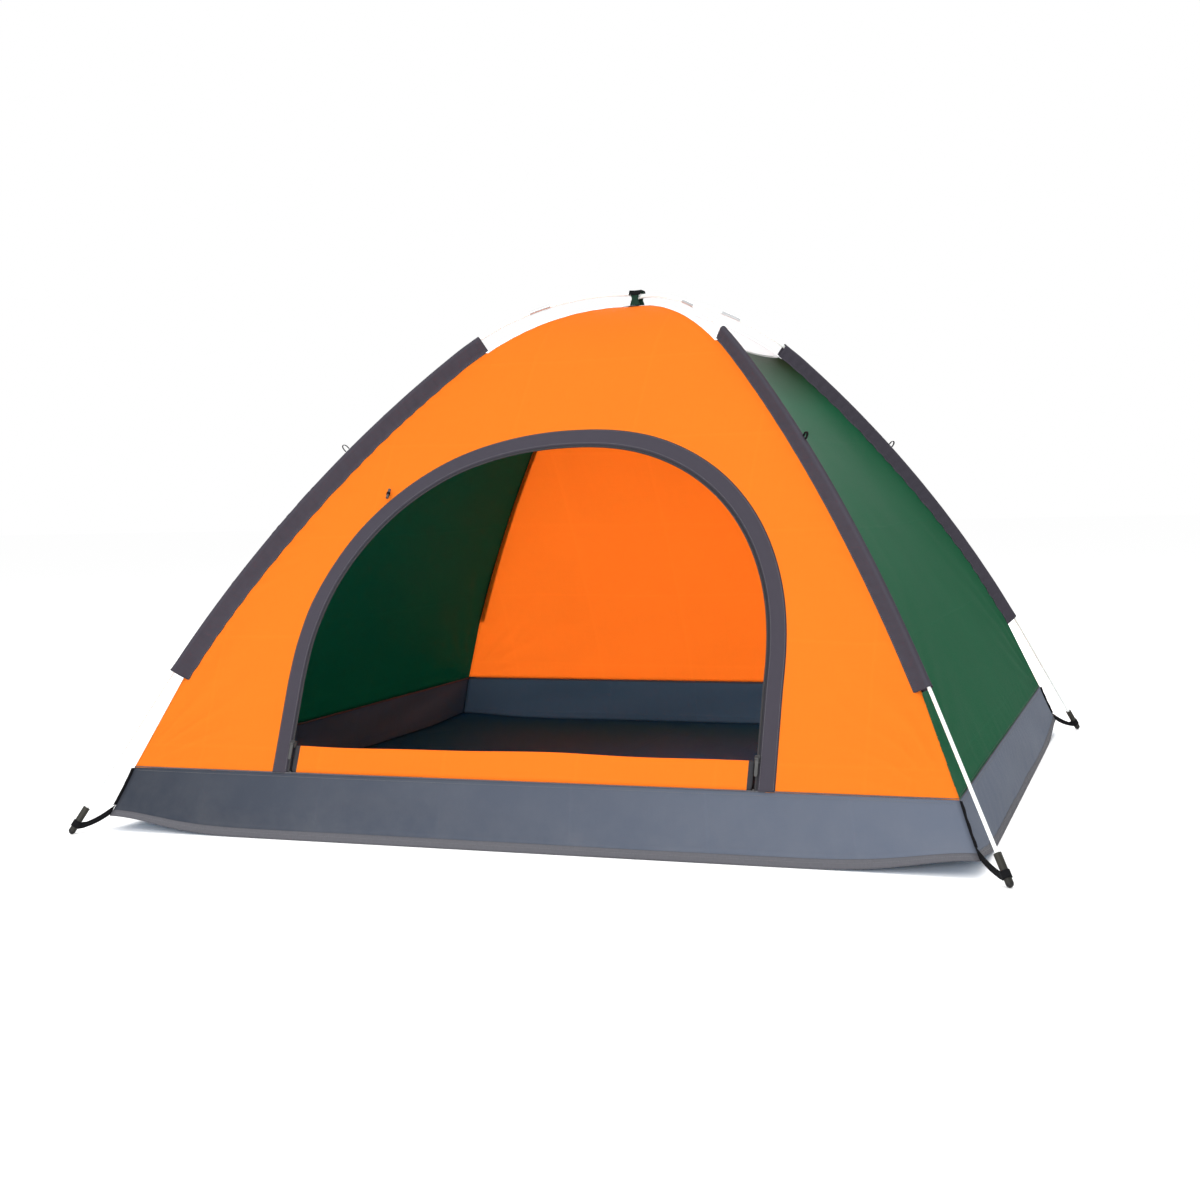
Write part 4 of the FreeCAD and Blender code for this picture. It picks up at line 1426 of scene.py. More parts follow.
@dataclass
class Sleeves:
    """The pole sleeves, the white tapes at the crown and the small guy loops."""

    cloths: Cloths
    shop: Workshop
    nose: float = 0.0072
    base_gap: float = 0.0120
    hem: float = 0.0045
    wall: float = 0.0009
    steps: int = 190
    tape_half: float = 0.018
    loop_at: float = 0.930
    loop_reach: float = 0.018

    def hem_gap(self, share: float) -> float:
        """Distance from the hip to the hem at a share of the sleeve's length."""
        return self.base_gap * (0.70 + 0.36 * share)

    def section(self, corner: Corner, pole: PoleLine, s: float) -> list[Vector]:
        """The sleeve's points across at s, from the left panel over the pole to the right."""
        lines = self.cloths.lines
        length = lines.sleeve_bottom - lines.sleeve_top
        share = (s - lines.sleeve_top) / length
        seed = Vector((s * 21, corner.value[0] * 3.1, corner.value[1] * 1.7))
        pucker = 0.0013 * math.sin(2 * math.pi * s / 0.031 + 3 * noise.noise(seed))
        slack = 0.0018 * noise.noise(seed * 0.5)
        gap = self.hem_gap(share)
        flare = 0.0012 * (math.exp(-(s - lines.sleeve_top) / 0.012)
                          + math.exp(-(lines.sleeve_bottom - s) / 0.012))
        points = []
        for second in (False, True):
            sign = 1 if second else -1
            outer = self.cloths.hip_edge(corner, s, gap + self.hem, second, 0.0012)
            inner = self.cloths.hip_edge(corner, s, gap, second, 0.0016)
            flank = []
            for k in range(4):
                angle = math.radians(12 + 26 * k)
                r = self.nose + flare + abs(slack) * 0.3
                flank.append(pole.point(s, r * math.sin(angle),
                                        sign * r * math.cos(angle)))
            low = pole.point(s, -0.35 * self.nose, sign * (self.nose + flare))
            rise = []
            for k in (0.25, 0.5, 0.75):
                mixed = inner.lerp(low, k)
                bulge = (pucker * (1.4 - k) + slack * math.sin(math.pi * k)) * sign
                rise.append(mixed + pole.aside * bulge)
            part = [outer, inner] + rise + [low] + flank
            points.append(part)
        left, right = points
        return left + [pole.point(s, self.nose + flare)] + right[::-1]

    def build_sleeve(self, corner: Corner) -> None:
        """Make one sleeve."""
        lines = self.cloths.lines
        pole = PoleLine(lines, corner, lines.crossing_lift(corner))
        grid, uvs = [], []
        for i in range(self.steps + 1):
            s = lines.sleeve_top + (lines.sleeve_bottom - lines.sleeve_top) * i / self.steps
            row = self.section(corner, pole, s)
            run, uv = 0.0, []
            for j, point in enumerate(row):
                run += (point - row[j - 1]).length if j else 0.0
                uv.append((run, s))
            grid.append(row)
            uvs.append(uv)
        name = "sleeve_" + corner.key
        piece = self.shop.cloth(name + "_cloth", grid, uvs, ["sleeve_cloth"], self.wall)
        self.shop.hang(piece, "charcoal_fabric", name)
        length = lines.sleeve_bottom - lines.sleeve_top
        self.shop.sheet(piece, (grid_area(grid) / length, length), "stretched",
                        ["panel_" + HIP_SIDES[corner][0].key + "_cloth"])

    def build_tape(self, corner: Corner) -> None:
        """Make the white tape over the hip below the bare stretch of pole."""
        lines = self.cloths.lines
        grid, uvs = [], []
        count = 44
        for i in range(count + 1):
            s = 0.045 + (lines.sleeve_top + 0.012 - 0.045) * i / count
            row = [self.cloths.hip_edge(corner, s, self.tape_half * k, False, 0.0014)
                   for k in (1.0, 0.66, 0.33)]
            ridge = self.cloths.hip_edge(corner, s, 0.0, False, 0.0017)
            row.append(ridge)
            row += [self.cloths.hip_edge(corner, s, self.tape_half * k, True, 0.0014)
                    for k in (0.33, 0.66, 1.0)]
            grid.append(row)
            uvs.append([(self.tape_half * (j - 3) / 3, s) for j in range(7)])
        name = "hip_tape_" + corner.key
        piece = self.shop.cloth(name + "_tape", grid, uvs, ["white_tape"], 0.0009)
        self.shop.hang(piece, "white_tape", name)

    def build_loops(self) -> None:
        """Make the four guy loops as one piece."""
        points, faces, uvs = [], [], []
        lines = self.cloths.lines
        for corner in Corner:
            pole = PoleLine(lines, corner, lines.crossing_lift(corner))
            first, sides, width, wall = len(points), 18, 0.005, 0.0008
            for k in range(sides + 1):
                angle = math.pi * (k / sides)
                along = -0.0065 * math.cos(angle)
                up = self.nose + 0.0012 + self.loop_reach * 0.93 * math.sin(angle) ** 0.6
                slope = Vector((math.sin(angle), math.cos(angle)))
                for half, deep in ((-1, 0), (1, 0), (1, 1), (-1, 1)):
                    inset = wall * 2 * deep
                    points.append(pole.point(self.loop_at + along * (1 - inset / 0.0065),
                                             up - inset * slope[0], half * width / 2))
                    uvs.append((half * width / 2, k * 0.0028))
            for k in range(sides):
                a, b = first + 4 * k, first + 4 * (k + 1)
                for e in range(4):
                    f = (e + 1) % 4
                    faces.append((a + e, b + e, b + f, a + f))
            last = first + 4 * sides
            faces.append((first, first + 1, first + 2, first + 3))
            faces.append((last + 3, last + 2, last + 1, last))
        piece = self.shop.mesh("guy_loops_webbing", points, faces, uvs, ["black_webbing"])
        shape = bmesh.new()
        shape.from_mesh(piece.data)
        bmesh.ops.recalc_face_normals(shape, faces=shape.faces)
        shape.to_mesh(piece.data)
        shape.free()
        self.shop.hang(piece, "black_webbing", "guy_loops")

    def build(self) -> None:
        """Make all of them."""
        for corner in Corner:
            self.build_sleeve(corner)
            self.build_tape(corner)
        self.build_loops()


@dataclass
class Crown:
    """The patch over the four panels' tips and the strap that holds the crossed poles."""

    lines: TentLines
    shop: Workshop
    patch: float = 0.070
    cover: float = 0.003
    thickness: float = 0.0016
    half_span: float = 0.020
    end_width: float = 0.026
    waist: float = 0.017

    def build_patch(self) -> None:
        """Make the square patch, a little domed."""
        seam = self.lines.crown_height - self.lines.hip_drop
        half = self.patch / 2

        def height(x: float, y: float) -> float:
            """Height of the patch at a place, with its edge turned down."""
            drop = (x * x + y * y) / (2 * self.lines.crown_radius)
            edge = min(half - abs(x), half - abs(y))
            return seam - drop + 0.0009 + 0.0010 * smooth_step(0, 0.006, edge)

        grid, uvs = level_grid(half, half, 14, height)
        piece = self.shop.cloth("crown_patch_cloth", grid, uvs, ["sleeve_cloth"], 0.0008)
        self.shop.hang(piece, "charcoal_fabric", "crown_patch")

    def build_strap(self) -> None:
        """Make the webbing loop over the poles: down both sides and over the top."""
        lines = self.lines
        foot = lines.crown_height - lines.hip_drop + 0.0022
        top = (lines.crown_height + lines.crossing_lift(Corner.FRONT_LEFT)
               + lines.pole_radius + self.cover)
        half = self.half_span
        profile = [(-half - 0.004, foot)]
        for k in range(1, 9):
            profile.append((-half - 0.001, foot + (top - 0.006 - foot) * k / 8))
        for k in range(1, 6):
            angle = math.pi / 2 * k / 5
            profile.append((-half - 0.001 + 0.006 * math.sin(angle),
                            top - 0.006 + 0.006 * (1 - math.cos(angle))))
        profile += [(-half * 0.35, top + 0.0006), (0.0, top + 0.0009)]
        profile += [(-y, z) for y, z in reversed(profile[:-1])]
        path = [Vector((0, y, z)) for y, z in profile]
        path.reverse()
        widths, across = [], []
        for point in path:
            share = (point.z - foot) / (top - foot)
            waist = math.exp(-((share - 0.5) / 0.24) ** 2)
            widths.append(self.end_width - (self.end_width - self.waist) * waist)
            across.append(Vector((-1, 0, 0)))
        piece = self.shop.ribbon("crown_strap_webbing", path, across, widths,
                                 "green_webbing", self.thickness, 7)
        self.shop.hang(piece, "strap_webbing", "crown_strap")
        rise = top + self.thickness + 0.0002
        path = []
        for k in range(17):
            share = 2 * k / 16 - 1
            path.append(Vector((0, -0.0245 * share,
                                rise + 0.0012 - 0.0125 * smooth_step(0.70, 1.0, abs(share)))))
        tab = self.shop.ribbon("crown_strap_tab_webbing", path,
                               [Vector((-1, 0, 0))] * 17, [0.032] * 17,
                               "black_webbing", 0.0014, 7, 0.0008)
        self.shop.hang(tab, "black_webbing", "crown_strap_tab")

    def build(self) -> None:
        """Make the crown's pieces."""
        self.build_patch()
        self.build_strap()


@dataclass
class Poles:
    """The two jointed poles with their ferrules, elastic cords and caps."""

    lines: TentLines
    shop: Workshop
    sections: int = 7

    def build(self) -> None:
        """Give every rigid piece of the poles its finish."""
        for pole in ("over_pole", "under_pole"):
            for number in range(1, self.sections + 1):
                self.shop.dress("rod", f"{pole}_section_{number}")
            self.shop.dress("ferrule_metal", pole + "_ferrules")
            self.shop.dress("elastic", pole + "_shock_cord")
        for corner in Corner:
            self.shop.dress("cap_rubber", "foot_cap_" + corner.key)


@dataclass
class CornerWebbing:
    """The webbing folded round each pole's cap and sewn to the seam of the tub's corner."""

    lines: TentLines
    shop: Workshop
    thickness: float = 0.0018
    cap_radius: float = 0.008
    ring_at: float = 0.010
    ring_length: float = 0.016
    low: float = 0.036
    high: float = 0.060
    seam_width: float = 0.007

    def edge(self, corner: Corner, up: float, gap: float = 0.0) -> Vector:
        """A point of the tub's corner seam at a height, and a gap out of it."""
        lines = self.lines
        rise = up / lines.tub_height
        for _ in range(12):
            reach = lines.tub_lean * rise / lines.corner_lift_width
            lift = lines.corner_lift * lines.lift_share(corner) * math.exp(-reach ** 2)
            rise = min(1.0, max(0.0, (up - lift * (1 - rise) ** 1.3) / lines.tub_height))
        out = lines.half_diagonal - lines.tub_lean * rise + gap
        return lines.along(corner) * out + Vector((0, 0, up))

    def build_tab(self, corner: Corner) -> None:
        """Make the folded strap of one corner: out from the seam, round the cap and back."""
        pole = PoleLine(self.lines, corner, self.lines.crossing_lift(corner))
        middle = pole.foot - self.ring_at - self.ring_length / 2
        ring = self.cap_radius + 0.0021
        centre, ahead = pole.point(middle), pole.tangent(middle)
        outward, aside = pole.outward(middle), pole.aside
        sewn = self.edge(corner, (self.low + self.high) / 2, 0.0012)
        up_seam = (self.edge(corner, self.high) - self.edge(corner, self.low)).normalized()
        path, across, widths = [], [], []
        wide = (self.high - self.low) * 1.08
        half = []
        for k in range(8):
            share = k / 8
            spread = 0.0013 + 0.0030 * share ** 2.5
            place = sewn.lerp(centre - outward * (ring * 1.15), share)
            place += Vector((0, 0, -0.004 * math.sin(math.pi * share)))
            half.append((place, spread, up_seam.lerp(-ahead, smooth_step(0, 1, share)),
                         wide + (self.ring_length - wide) * smooth_step(0, 1, share)))
        for place, spread, way, width in half:
            path.append(place - aside * spread)
            across.append(way.normalized())
            widths.append(width)
        for k in range(19):
            angle = math.radians(-145 + 290 * k / 18)
            path.append(centre + outward * (ring * math.cos(angle))
                        + aside * (ring * math.sin(angle)))
            across.append(-ahead)
            widths.append(self.ring_length)
        for place, spread, way, width in reversed(half):
            path.append(place + aside * spread)
            across.append(way.normalized())
            widths.append(width)
        strap = self.shop.ribbon("corner_tab_" + corner.key + "_strap", path, across, widths,
                                 "black_webbing", self.thickness, 5)
        self.shop.hang(strap, "black_webbing", "corner_tab_" + corner.key)
        grid, uvs = [], []
        for k in range(17):
            up = self.lines.tub_height - 0.001 - (self.lines.tub_height - self.high) * k / 16
            root, tip = self.edge(corner, up, 0.0002), self.edge(corner, up, self.seam_width)
            wave = aside * (0.0008 * math.sin(up * 210))
            grid.append([root - aside * 0.0016, tip - aside * 0.0010 + wave,
                         tip + aside * 0.0010 + wave, root + aside * 0.0016])
            uvs.append([(-0.009, up), (-0.001, up), (0.001, up), (0.009, up)])
        fold = self.shop.cloth("corner_seam_" + corner.key, grid, uvs, ["black_webbing"],
                               0.0008)
        self.shop.hang(fold, "black_webbing")

    def build(self) -> None:
        """Make all four."""
        for corner in Corner:
            self.build_tab(corner)


@dataclass
class Door:
    """The door: its border, zip and the flap that hangs open inside the sill."""

    cloths: Cloths
    shop: Workshop
    beads: Beading
    border_width: float = 0.037
    border_lift: float = 0.0022
    tape_inner: float = 0.0475
    chain_half: float = 0.0026
    strip_height: float = 0.062
    flap_inset: float = 0.0478
    flap_rows: int = 40
    flap_columns: int = 44
    flap_tape: float = 0.009
    fall_floor_half: float = 1.4
    fall_floor_height: float = 0.006
    fall_gap: float = 0.004
    fall_frames: int = 40

    def _band(self, insets: Sequence[float], lifts: Sequence[float], steps: int,
              foot: float) -> tuple[Grid, list[list[Uv]]]:
        """Grid of a band that follows the door's outline.

        Args:
            insets: Distances inside the door's outer edge, growing inwards.
            lifts: Distance out of the panel at each.
            steps: Steps along the outline.
            foot: Height of the band's two ends.

        Returns:
            The grid, with rows from the outer edge inwards, and its cloth coordinates.
        """
        cloth = self.cloths.sides[Side.FRONT]
        grid, uvs = [], []
        for inset, lift in zip(insets, lifts):
            row, uv, run = [], [], 0.0
            for x, z in self.cloths.door.outline(inset, foot, steps):
                point = self.cloths.point(Side.FRONT, x, cloth.down_at_height(z), lift)
                run += (point - row[-1]).length if row else 0.0
                row.append(point)
                uv.append((inset, run))
            grid.append(row)
            uvs.append(uv)
        return grid, uvs

    def build_border(self) -> None:
        """Make the bound border round the doorway."""
        count = 11
        insets, lifts = [], []
        for k in range(count):
            share = k / (count - 1)
            insets.append(-0.001 + share * self.border_width)
            edge = min(share, 1 - share)
            lifts.append(self.border_lift * smooth_step(-0.02, 0.10, edge) + 0.0002
                         + 0.0005 * math.sin(math.pi * share))
        grid, uvs = self._band(insets, lifts, 420, self.cloths.lines.tub_height + 0.001)
        piece = self.shop.cloth("door_border_cloth", grid, uvs, ["sleeve_cloth"], 0.0012)
        self.shop.hang(piece, "charcoal_fabric", "door_border")

    def build_zip(self) -> None:
        """Make the zip's tape on the panel and its row of coils."""
        foot = self.cloths.lines.tub_height + 0.002
        insets = [0.026 + (self.tape_inner - 0.026 - 0.0055) * k / 5 for k in range(6)]
        grid, uvs = self._band(insets, [0.0] * 6, 360, foot)
        tape = self.shop.cloth("door_zip_tape_cloth", grid, uvs, ["zip_cloth"], 0.0007)
        self.shop.hang(tape, "zip_tape_cloth", "door_zip_tape")
        line = self.cloths.door_row(self.cloths.door.chain_inset, foot, 0.0008, 700)
        self.beads.run("door_zip_coils", [line], 0.0021, (0.0013, self.chain_half, 0.00085),
                       "zip_nylon", "zip_coil", 0.04, ["door_zip_chain"])
        for side in ("left", "right"):
            self.shop.dress("zip_paint", "zip_slider_" + side, "zip_pull_" + side)
        self.shop.dress("zip_paint", "zip_end_stops")

    def _fold_profile(self) -> list[tuple[float, float]]:
        """The flap's fold, from the sill up, over and down to the floor, as (y, z)."""
        cloth = self.cloths.sides[Side.FRONT]
        tub = self.cloths.lines.tub_height
        low = cloth.local(0.0, cloth.end - 0.0015)
        high = cloth.local(0.0, cloth.down_at_height(tub + self.strip_height))
        corners = [(low.y, low.z), (high.y, high.z),
                   (high.y + 0.008, high.z - 0.001), (high.y + 0.034, 0.060),
                   (high.y + 0.31, 0.020), (high.y + 0.335, 0.042), (high.y + 0.10, 0.075),
                   (high.y + 0.09, 0.095), (high.y + 0.60, 0.115)]
        fine = []
        for a, b in zip(corners[:-1], corners[1:]):
            steps = max(2, int(math.hypot(b[0] - a[0], b[1] - a[1]) / 0.002))
            fine += [(a[0] + (b[0] - a[0]) * k / steps, a[1] + (b[1] - a[1]) * k / steps)
                     for k in range(steps)]
        for _ in range(4):
            fine = [fine[0]] + [((p[0] + 2 * q[0] + r[0]) / 4, (p[1] + 2 * q[1] + r[1]) / 4)
                                for p, q, r in zip(fine[:-2], fine[1:-1], fine[2:])] \
                + [fine[-1]]
        return fine

    def _flap_rows(self) -> tuple[list[float], list[float]]:
        """Distance up the flap and its half width there, for every row."""
        door = self.cloths.door
        cloth = self.cloths.sides[Side.FRONT]
        tub = self.cloths.lines.tub_height + 0.0015
        outline = door.outline(self.flap_inset, tub, 1200)
        right = [(x, z) for x, z in outline if x >= 0][::-1]
        base = cloth.down_at_height(tub)
        fold = self.strip_height
        rows = [0.0, fold * 0.35, fold * 0.70, fold - 0.0035, fold, fold + 0.0035]
        halves = [right[0][0]] * len(rows)
        first = next(i for i, (_, z) in enumerate(right)
                     if base - cloth.down_at_height(z) > fold + 0.012)
        for i in range(self.flap_rows + 1):
            x, z = self._at_share(right[first:], i / self.flap_rows)
            rows.append(base - cloth.down_at_height(z))
            halves.append(max(x, 0.012))
        return rows, halves

    def _share_across(self, column: int, half: float) -> float:
        """Where a column lies across the flap, -1 to 1, with a narrow one at each edge."""
        if column in (0, self.flap_columns):
            return -1.0 if column == 0 else 1.0
        edge = max(0.0, 1 - self.flap_tape / half)
        return edge * (2 * (column - 1) / (self.flap_columns - 2) - 1)

    @staticmethod
    def _at_share(outline: Sequence[tuple[float, float]], share: float) -> tuple[float, float]:
        """The outline's point at a share of its length weighted towards its straight leg."""
        place = (share ** 0.92) * (len(outline) - 1) * 0.985
        i = min(int(place), len(outline) - 2)
        part = place - i
        a, b = outline[i], outline[i + 1]
        return a[0] + (b[0] - a[0]) * part, a[1] + (b[1] - a[1]) * part

    def build_flap(self) -> None:
        profile = self._fold_profile()
        lengths = [0.0]
        for a, b in zip(profile[:-1], profile[1:]):
            lengths.append(lengths[-1] + math.hypot(b[0] - a[0], b[1] - a[1]))
        rows, halves = self._flap_rows()
        grid, uvs, pinned = [], [], []
        for i, (run, half) in enumerate(zip(rows, halves)):
            k = next((n for n, length in enumerate(lengths) if length >= run),
                     len(lengths) - 1)
            y, z = profile[k]
            row, uv = [], []
            for j in range(self.flap_columns + 1):
                x = half * self._share_across(j, half)
                wave = 0.004 * noise.noise(Vector((x * 4, run * 5, 3.3)))
                loose = smooth_step(self.strip_height, self.strip_height + 0.08, run)
                row.append(Vector((x, y + wave * loose, z + abs(wave) * loose)))
                uv.append((x, run))
            grid.append(row)
            uvs.append(uv)
            if run <= self.strip_height + 0.004:
                pinned.append(i)
        grid.reverse()
        uvs.reverse()
        last = len(grid) - 1
        stitched = 2

        def look(i: int, j: int) -> int:
            """Zip tape along the curved edge, cloth elsewhere."""
            at_edge = j < 1 or j >= self.flap_columns - 1 or i < stitched - 1
            return 1 if at_edge else 0

        piece = self.shop.cloth("door_flap_cloth", grid, uvs, ["orange_cloth", "zip_cloth"],
                                looks_of=look)
        self._settle(piece, [last - i for i in pinned])
        self._press_strip(piece, grid, [last - i for i in pinned])
        smooth = piece.modifiers.new("smooth", "SUBSURF")
        smooth.levels = smooth.render_levels = 1
        solid = piece.modifiers.new("thickness", "SOLIDIFY")
        solid.thickness, solid.offset = 0.0007, -1.0
        self.shop.hang(piece, "orange_polyester", "door_flap")
        width, length = 2 * max(halves), rows[-1]
        self.shop.sheet(piece, (width, length), "folded",
                        ["ground_sheet_cloth", "tub_wall_front_cloth"],
                        min(1.0, grid_area(grid) / (width * length)))

    def _settle(self, piece: bpy.types.Object, pinned: Sequence[int]) -> None:
        """Let the flap's loose part fall, with its strip held.

        Args:
            piece: The flap.
            pinned: Rows that the zip holds.
        """
        columns = self.flap_columns + 1
        group = piece.vertex_groups.new(name="held")
        group.add([i * columns + j for i in pinned for j in range(columns)], 1.0, "REPLACE")
        base = bpy.data.meshes.new("flap_floor")
        size, low = self.fall_floor_half, self.fall_floor_height
        sill = -self.cloths.sides[Side.FRONT].reach
        base.from_pydata([(-size, sill + 0.004, low), (size, sill + 0.004, low),
                          (size, size, low), (-size, size, low),
                          (-size, sill + 0.066, 0.135), (size, sill + 0.066, 0.135)], [],
                         [(0, 1, 2, 3), (4, 5, 1, 0)])
        floor = bpy.data.objects.new("flap_floor", base)
        bpy.context.scene.collection.objects.link(floor)
        floor.modifiers.new("hit", "COLLISION")
        floor.collision.thickness_outer = self.fall_gap
        floor.collision.cloth_friction = 12
        cloth = piece.modifiers.new("fall", "CLOTH")
        cloth.settings.quality = 5
        cloth.settings.mass = 0.10
        cloth.settings.tension_stiffness = cloth.settings.compression_stiffness = 18
        cloth.settings.shear_stiffness = 8
        cloth.settings.bending_stiffness = 0.12
        cloth.settings.air_damping = 2.0
        cloth.settings.vertex_group_mass = "held"
        cloth.collision_settings.use_self_collision = True
        cloth.collision_settings.self_distance_min = self.fall_gap
        cloth.collision_settings.distance_min = self.fall_gap
        cloth.collision_settings.collision_quality = 2
        scene = bpy.context.scene
        start, end = 1, self.fall_frames
        cloth.point_cache.frame_start, cloth.point_cache.frame_end = start, end
        for step in range(start, end + 1):
            scene.frame_set(step)
        state = bpy.context.evaluated_depsgraph_get()
        moved = piece.evaluated_get(state).to_mesh()
        places = [vertex.co.copy() for vertex in moved.vertices]
        piece.evaluated_get(state).to_mesh_clear()
        piece.modifiers.remove(cloth)
        scene.frame_set(start)
        for vertex, place in zip(piece.data.vertices, places):
            vertex.co = place
        bpy.data.objects.remove(floor)
        log.info("flap settled: y %.3f to %.3f, z %.3f to %.3f",
                 min(p.y for p in places), max(p.y for p in places),
                 min(p.z for p in places), max(p.z for p in places))

    def _press_strip(self, piece: bpy.types.Object, grid: Grid,
                     pinned: Sequence[int]) -> None:
        """Give the zipped strip the slack of cloth held only at its ends."""
        columns = self.flap_columns + 1
        for i in pinned:
            for j in range(columns):
                vertex = piece.data.vertices[i * columns + j]
                rise = (grid[i][j].z - self.cloths.lines.tub_height) / self.strip_height
                x = vertex.co.x
                slack = 0.0022 * math.sin(x * 7 + 1) + 0.0012 * math.sin(x * 17)
                ends = 1 - (abs(x) / 0.56) ** 6
                vertex.co.z += slack * max(0.0, rise) * ends
                vertex.co.y += 0.004 * math.sin(x * 11 + rise * 2) * ends * max(0.0, rise)

    def build_toggle(self) -> None:
        """Give the toggle its finish and make the loop that holds it."""
        self.shop.dress("black_plastic", "door_toggle")
        low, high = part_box("door_toggle_loop")
        middle = (Vector(low) + Vector(high)) / 2
        cloth = self.cloths.sides[Side.FRONT]
        down = cloth.down_at_height(middle.z)
        up = (cloth.point(0, down - 0.01) - cloth.point(0, down + 0.01)).normalized()
        out = self.cloths.outward(Side.FRONT, 0.0, down)
        across = Vector((1, 0, 0))
        grid, uvs, sides = [], [], 28
        for i in range(5):
            along = 0.003 - 0.006 * i / 4
            row, uv = [], []
            for j in range(sides):
                angle = 2 * math.pi * j / sides
                r = 0.0047
                row.append(middle + up * along + out * (-r * math.cos(angle))
                           + across * (-r * math.sin(angle)))
                uv.append((along, j * 0.001))
            grid.append(row)
            uvs.append(uv)
        loop = self.shop.cloth("door_toggle_loop_webbing", grid, uvs, ["black_webbing"],
                               0.0009, ring=True)
        self.shop.hang(loop, "black_webbing", "door_toggle_loop")

    def build(self) -> None:
        """Make the door's pieces."""
        self.build_border()
        self.build_zip()
        self.build_flap()
        self.build_toggle()


@dataclass
class Seams:
    """Every row of stitches."""

    cloths: Cloths
    shop: Workshop
    beads: Beading
    tub: Tub
    pitch: float = 0.0050
    size: tuple[float, float, float] = (0.00045, 0.00045, 0.0018)
    row_steps: int = 300
    sleeve_steps: int = 239
    row_end: float = 0.004

    def _door_row(self, inset: float, lift: float) -> list[tuple[Vector, Vector]]:
        """A row that follows the door's outline."""
        return self.cloths.door_row(inset, self.cloths.lines.tub_height + 0.006, lift, 500)

    def _sleeve_row(self, corner: Corner, sleeves: Sleeves,
                    second: bool) -> list[tuple[Vector, Vector]]:
        """A row along one side of a sleeve's hem."""
        lines = self.cloths.lines
        side = HIP_SIDES[corner][1 if second else 0]
        line = []
        for i in range(self.sleeve_steps + 1):
            s = lines.sleeve_top + self.row_end + (lines.sleeve_bottom - lines.sleeve_top
                                                   - 2 * self.row_end) * i / self.sleeve_steps
            share = (s - lines.sleeve_top) / (lines.sleeve_bottom - lines.sleeve_top)
            gap = sleeves.hem_gap(share) + sleeves.hem * 0.5
            point = self.cloths.hip_edge(corner, s, gap, second, 0.0018)
            cloth = self.cloths.sides[side]
            down = cloth.down_at_place(s)
            line.append((point, self.cloths.outward(side, 0.0, down)))
        return line

    def _wall_row(self, side: Side, rise: float, lift: float,
                  reach: float = 0.985) -> list[tuple[Vector, Vector]]:
        """A row along a tub wall."""
        turn = self.cloths.sides[side].turn.to_3x3()
        out = turn @ Vector((0, -1, 0.3)).normalized()
        return [(self.tub.wall_point(side, reach * (2 * i / self.row_steps - 1), rise, lift),
                 out) for i in range(self.row_steps + 1)]

    def _panel_row(self, side: Side, gap: float) -> list[tuple[Vector, Vector]]:
        """A row along a panel's foot."""
        cloth = self.cloths.sides[side]
        down = cloth.end - gap
        half = cloth.half(down) - 0.01
        line = []
        for i in range(self.row_steps + 1):
            across = half * (2 * i / self.row_steps - 1)
            line.append((self.cloths.point(side, across, down, 0.0004),
                         self.cloths.outward(side, across, down)))
        return line

    def build(self, sleeves: Sleeves) -> None:
        """Make every row of stitches."""
        self.beads.run("stitches_door_border",
                       [self._door_row(0.0025, 0.0024), self._door_row(0.0325, 0.0026)],
                       self.pitch, self.size, "dark_thread", "charcoal_fabric")
        for corner in Corner:
            rows = [self._sleeve_row(corner, sleeves, second) for second in (False, True)]
            self.beads.run("stitches_sleeve_" + corner.key, rows, self.pitch, self.size,
                           "dark_thread", "charcoal_fabric")
        for side in Side:
            self.beads.run("stitches_tub_" + side.key,
                           [self._wall_row(side, 0.955, 0.0006),
                            self._wall_row(side, 0.085, 0.0012)],
                           self.pitch, self.size, "dark_thread", "slate_oxford")
        for side in (Side.RIGHT, Side.BACK, Side.LEFT):
            look = "orange_thread" if side is Side.BACK else "green_thread"
            self.beads.run("stitches_panel_" + side.key, [self._panel_row(side, 0.006)],
                           self.pitch, self.size, look, "orange_polyester"
                           if side is Side.BACK else "green_polyester")


# --- Studio --------------------------------------------------------------------------------


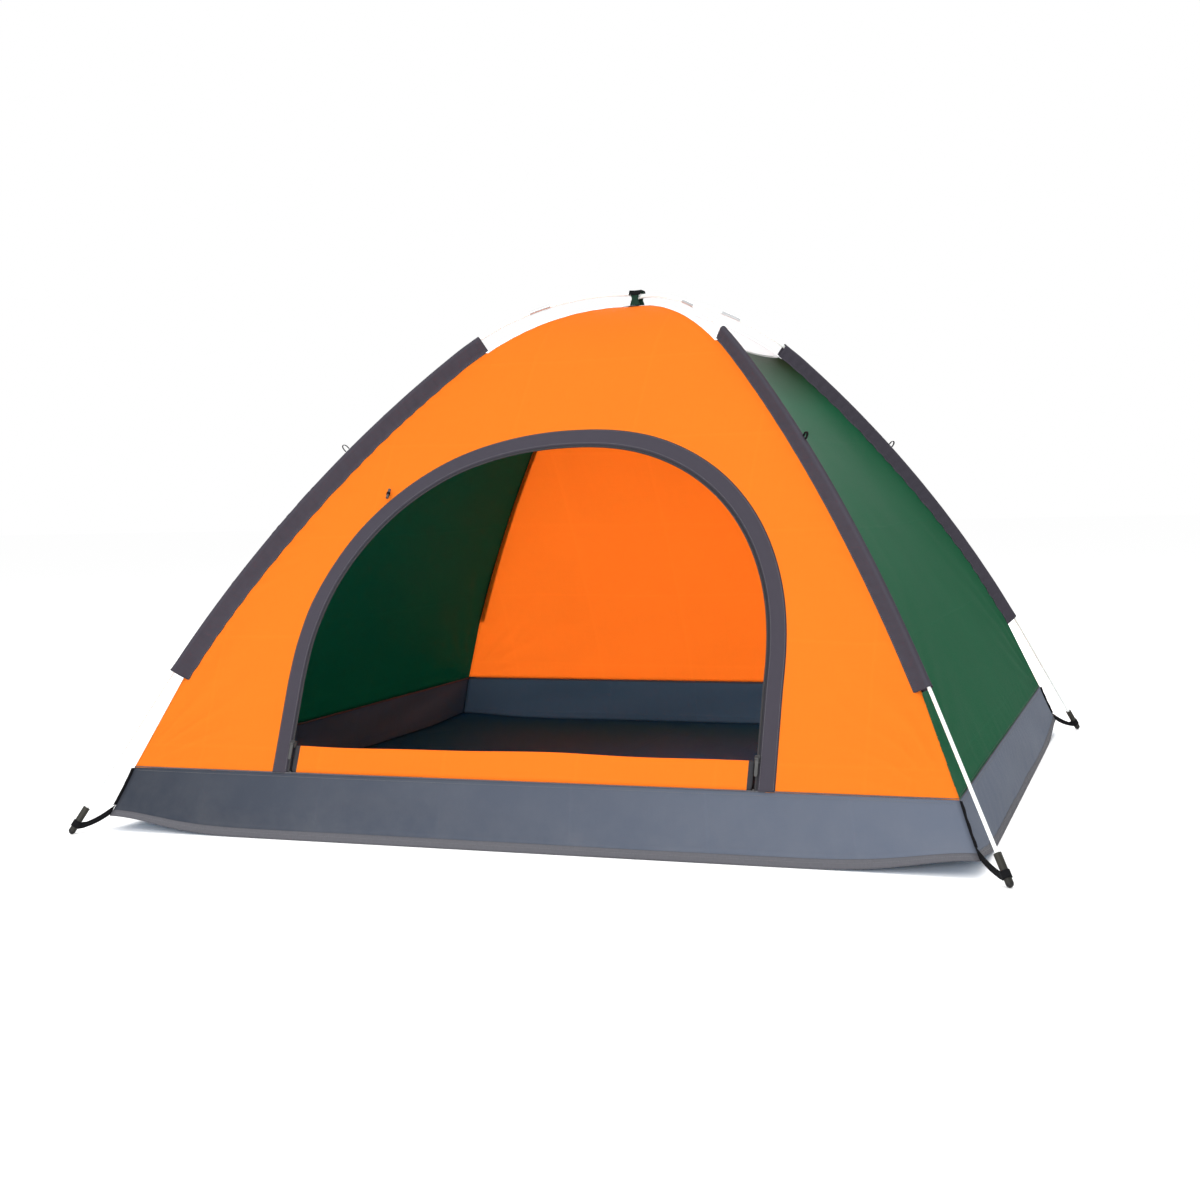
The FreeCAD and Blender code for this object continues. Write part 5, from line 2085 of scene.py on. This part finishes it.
@dataclass
class Studio:
    """Floor, soft lights and camera."""

    camera_place: tuple[float, float, float] = (1.365, -4.163, 0.749)
    yaw: float = math.radians(19.7)
    pitch: float = math.radians(3.56)
    roll: float = math.radians(-1.32)
    lens: float = 48.78

    def build_floor(self) -> None:
        """Make the plain pale floor."""
        data = bpy.data.meshes.new("studio_floor")
        size = 40.0
        data.from_pydata([(-size, -size, -0.0005), (size, -size, -0.0005),
                          (size, size, -0.0005), (-size, size, -0.0005)], [], [(0, 1, 2, 3)])
        floor = bpy.data.objects.new("studio_floor", data)
        bpy.context.scene.collection.objects.link(floor)
        material = bpy.data.materials.new("studio_paper")
        material.use_nodes = True
        material.node_tree.nodes.clear()
        graph = Graph(material.node_tree)
        place = graph.node("ShaderNodeTexCoord", output="Object")
        grain = graph.noise(place, 40.0, 3.0)
        Finish.close(graph, graph.node("ShaderNodeBsdfPrincipled", None, {
            "Base Color": graph.mix(grain, (0.985, 0.985, 0.985), (0.995, 0.995, 0.995)),
            "Roughness": grain * 0.1 + 0.85, "Specular IOR Level": 0.0}))
        data.materials.append(material)

    def light(self, name: str, place: tuple[float, float, float],
              aim: tuple[float, float, float], size: float, power: float) -> None:
        """Add one soft square light.

        Args:
            name: The light's name.
            place: Where it is.
            aim: The point that it faces.
            size: Its side.
            power: Its power in watts.
        """
        data = bpy.data.lights.new(name, "AREA")
        data.size, data.energy = size, power
        lamp = bpy.data.objects.new(name, data)
        lamp.location = place
        lamp.rotation_euler = (Vector(place) - Vector(aim)).to_track_quat("Z", "Y").to_euler()
        bpy.context.scene.collection.objects.link(lamp)

    def build_camera(self) -> None:
        """Add the camera."""
        cos, sin = math.cos, math.sin
        ahead = Vector((-sin(self.yaw) * cos(self.pitch), cos(self.yaw) * cos(self.pitch),
                        -sin(self.pitch)))
        level = Vector((cos(self.yaw), sin(self.yaw), 0))
        high = level.cross(ahead)
        right = cos(self.roll) * level + sin(self.roll) * high
        up = -sin(self.roll) * level + cos(self.roll) * high
        data = bpy.data.cameras.new("camera")
        data.lens, data.sensor_width = self.lens, 36.0
        data.clip_end = 200.0
        camera = bpy.data.objects.new("camera", data)
        turn = Matrix((right, up, -ahead)).transposed().to_4x4()
        camera.matrix_world = Matrix.Translation(self.camera_place) @ turn
        bpy.context.scene.collection.objects.link(camera)
        bpy.context.scene.camera = camera

    def build(self) -> None:
        """Set up the studio."""
        self.build_floor()
        self.build_camera()
        scene = bpy.context.scene
        scene.view_settings.view_transform = "Standard"
        world = bpy.data.worlds.new("studio_sky")
        scene.world = world
        world.use_nodes = True
        world.node_tree.nodes.clear()
        graph = Graph(world.node_tree)
        sky = graph.node("ShaderNodeBackground", None,
                         {"Color": (1.0, 1.0, 1.0), "Strength": 1.0})
        graph.node("ShaderNodeOutputWorld", None, {"Surface": sky}, None)
        self.light("front_soft", (-2.2, -5.2, 3.4), (0, 0, 0.5), 3.0, 125)
        self.light("top_soft", (1.2, -0.8, 5.0), (0, 0, 0.4), 3.5, 90)
        self.light("back_soft", (-0.4, 5.0, 2.6), (0, 0, 0.5), 3.0, 190)
        self.light("door_soft", (0.9, -5.6, 1.1), (-0.1, 0.4, 0.3), 1.4, 120)


def main() -> None:
    """Build every piece in order."""
    logging.basicConfig(level=logging.INFO, format="%(name)s %(message)s")
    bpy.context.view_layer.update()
    low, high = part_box("ground_sheet")
    lines = TentLines((high[0] - low[0]) / 2, (high[1] - low[1]) / 2)
    studio = Studio()
    studio.build()
    shop = Workshop(Finishes())
    beads = Beading(shop)
    cloths = Cloths(lines, DoorLine())
    tub = Tub(cloths, shop)
    tub.build()
    Panels(cloths, shop).build()
    sleeves = Sleeves(cloths, shop)
    sleeves.build()
    Crown(lines, shop).build()
    Poles(lines, shop).build()
    CornerWebbing(lines, shop).build()
    Door(cloths, shop, beads).build()
    Seams(cloths, shop, beads, tub).build(sleeves)
    log.info("%d pieces made", shop.count)


if __name__ == "__main__":
    main()
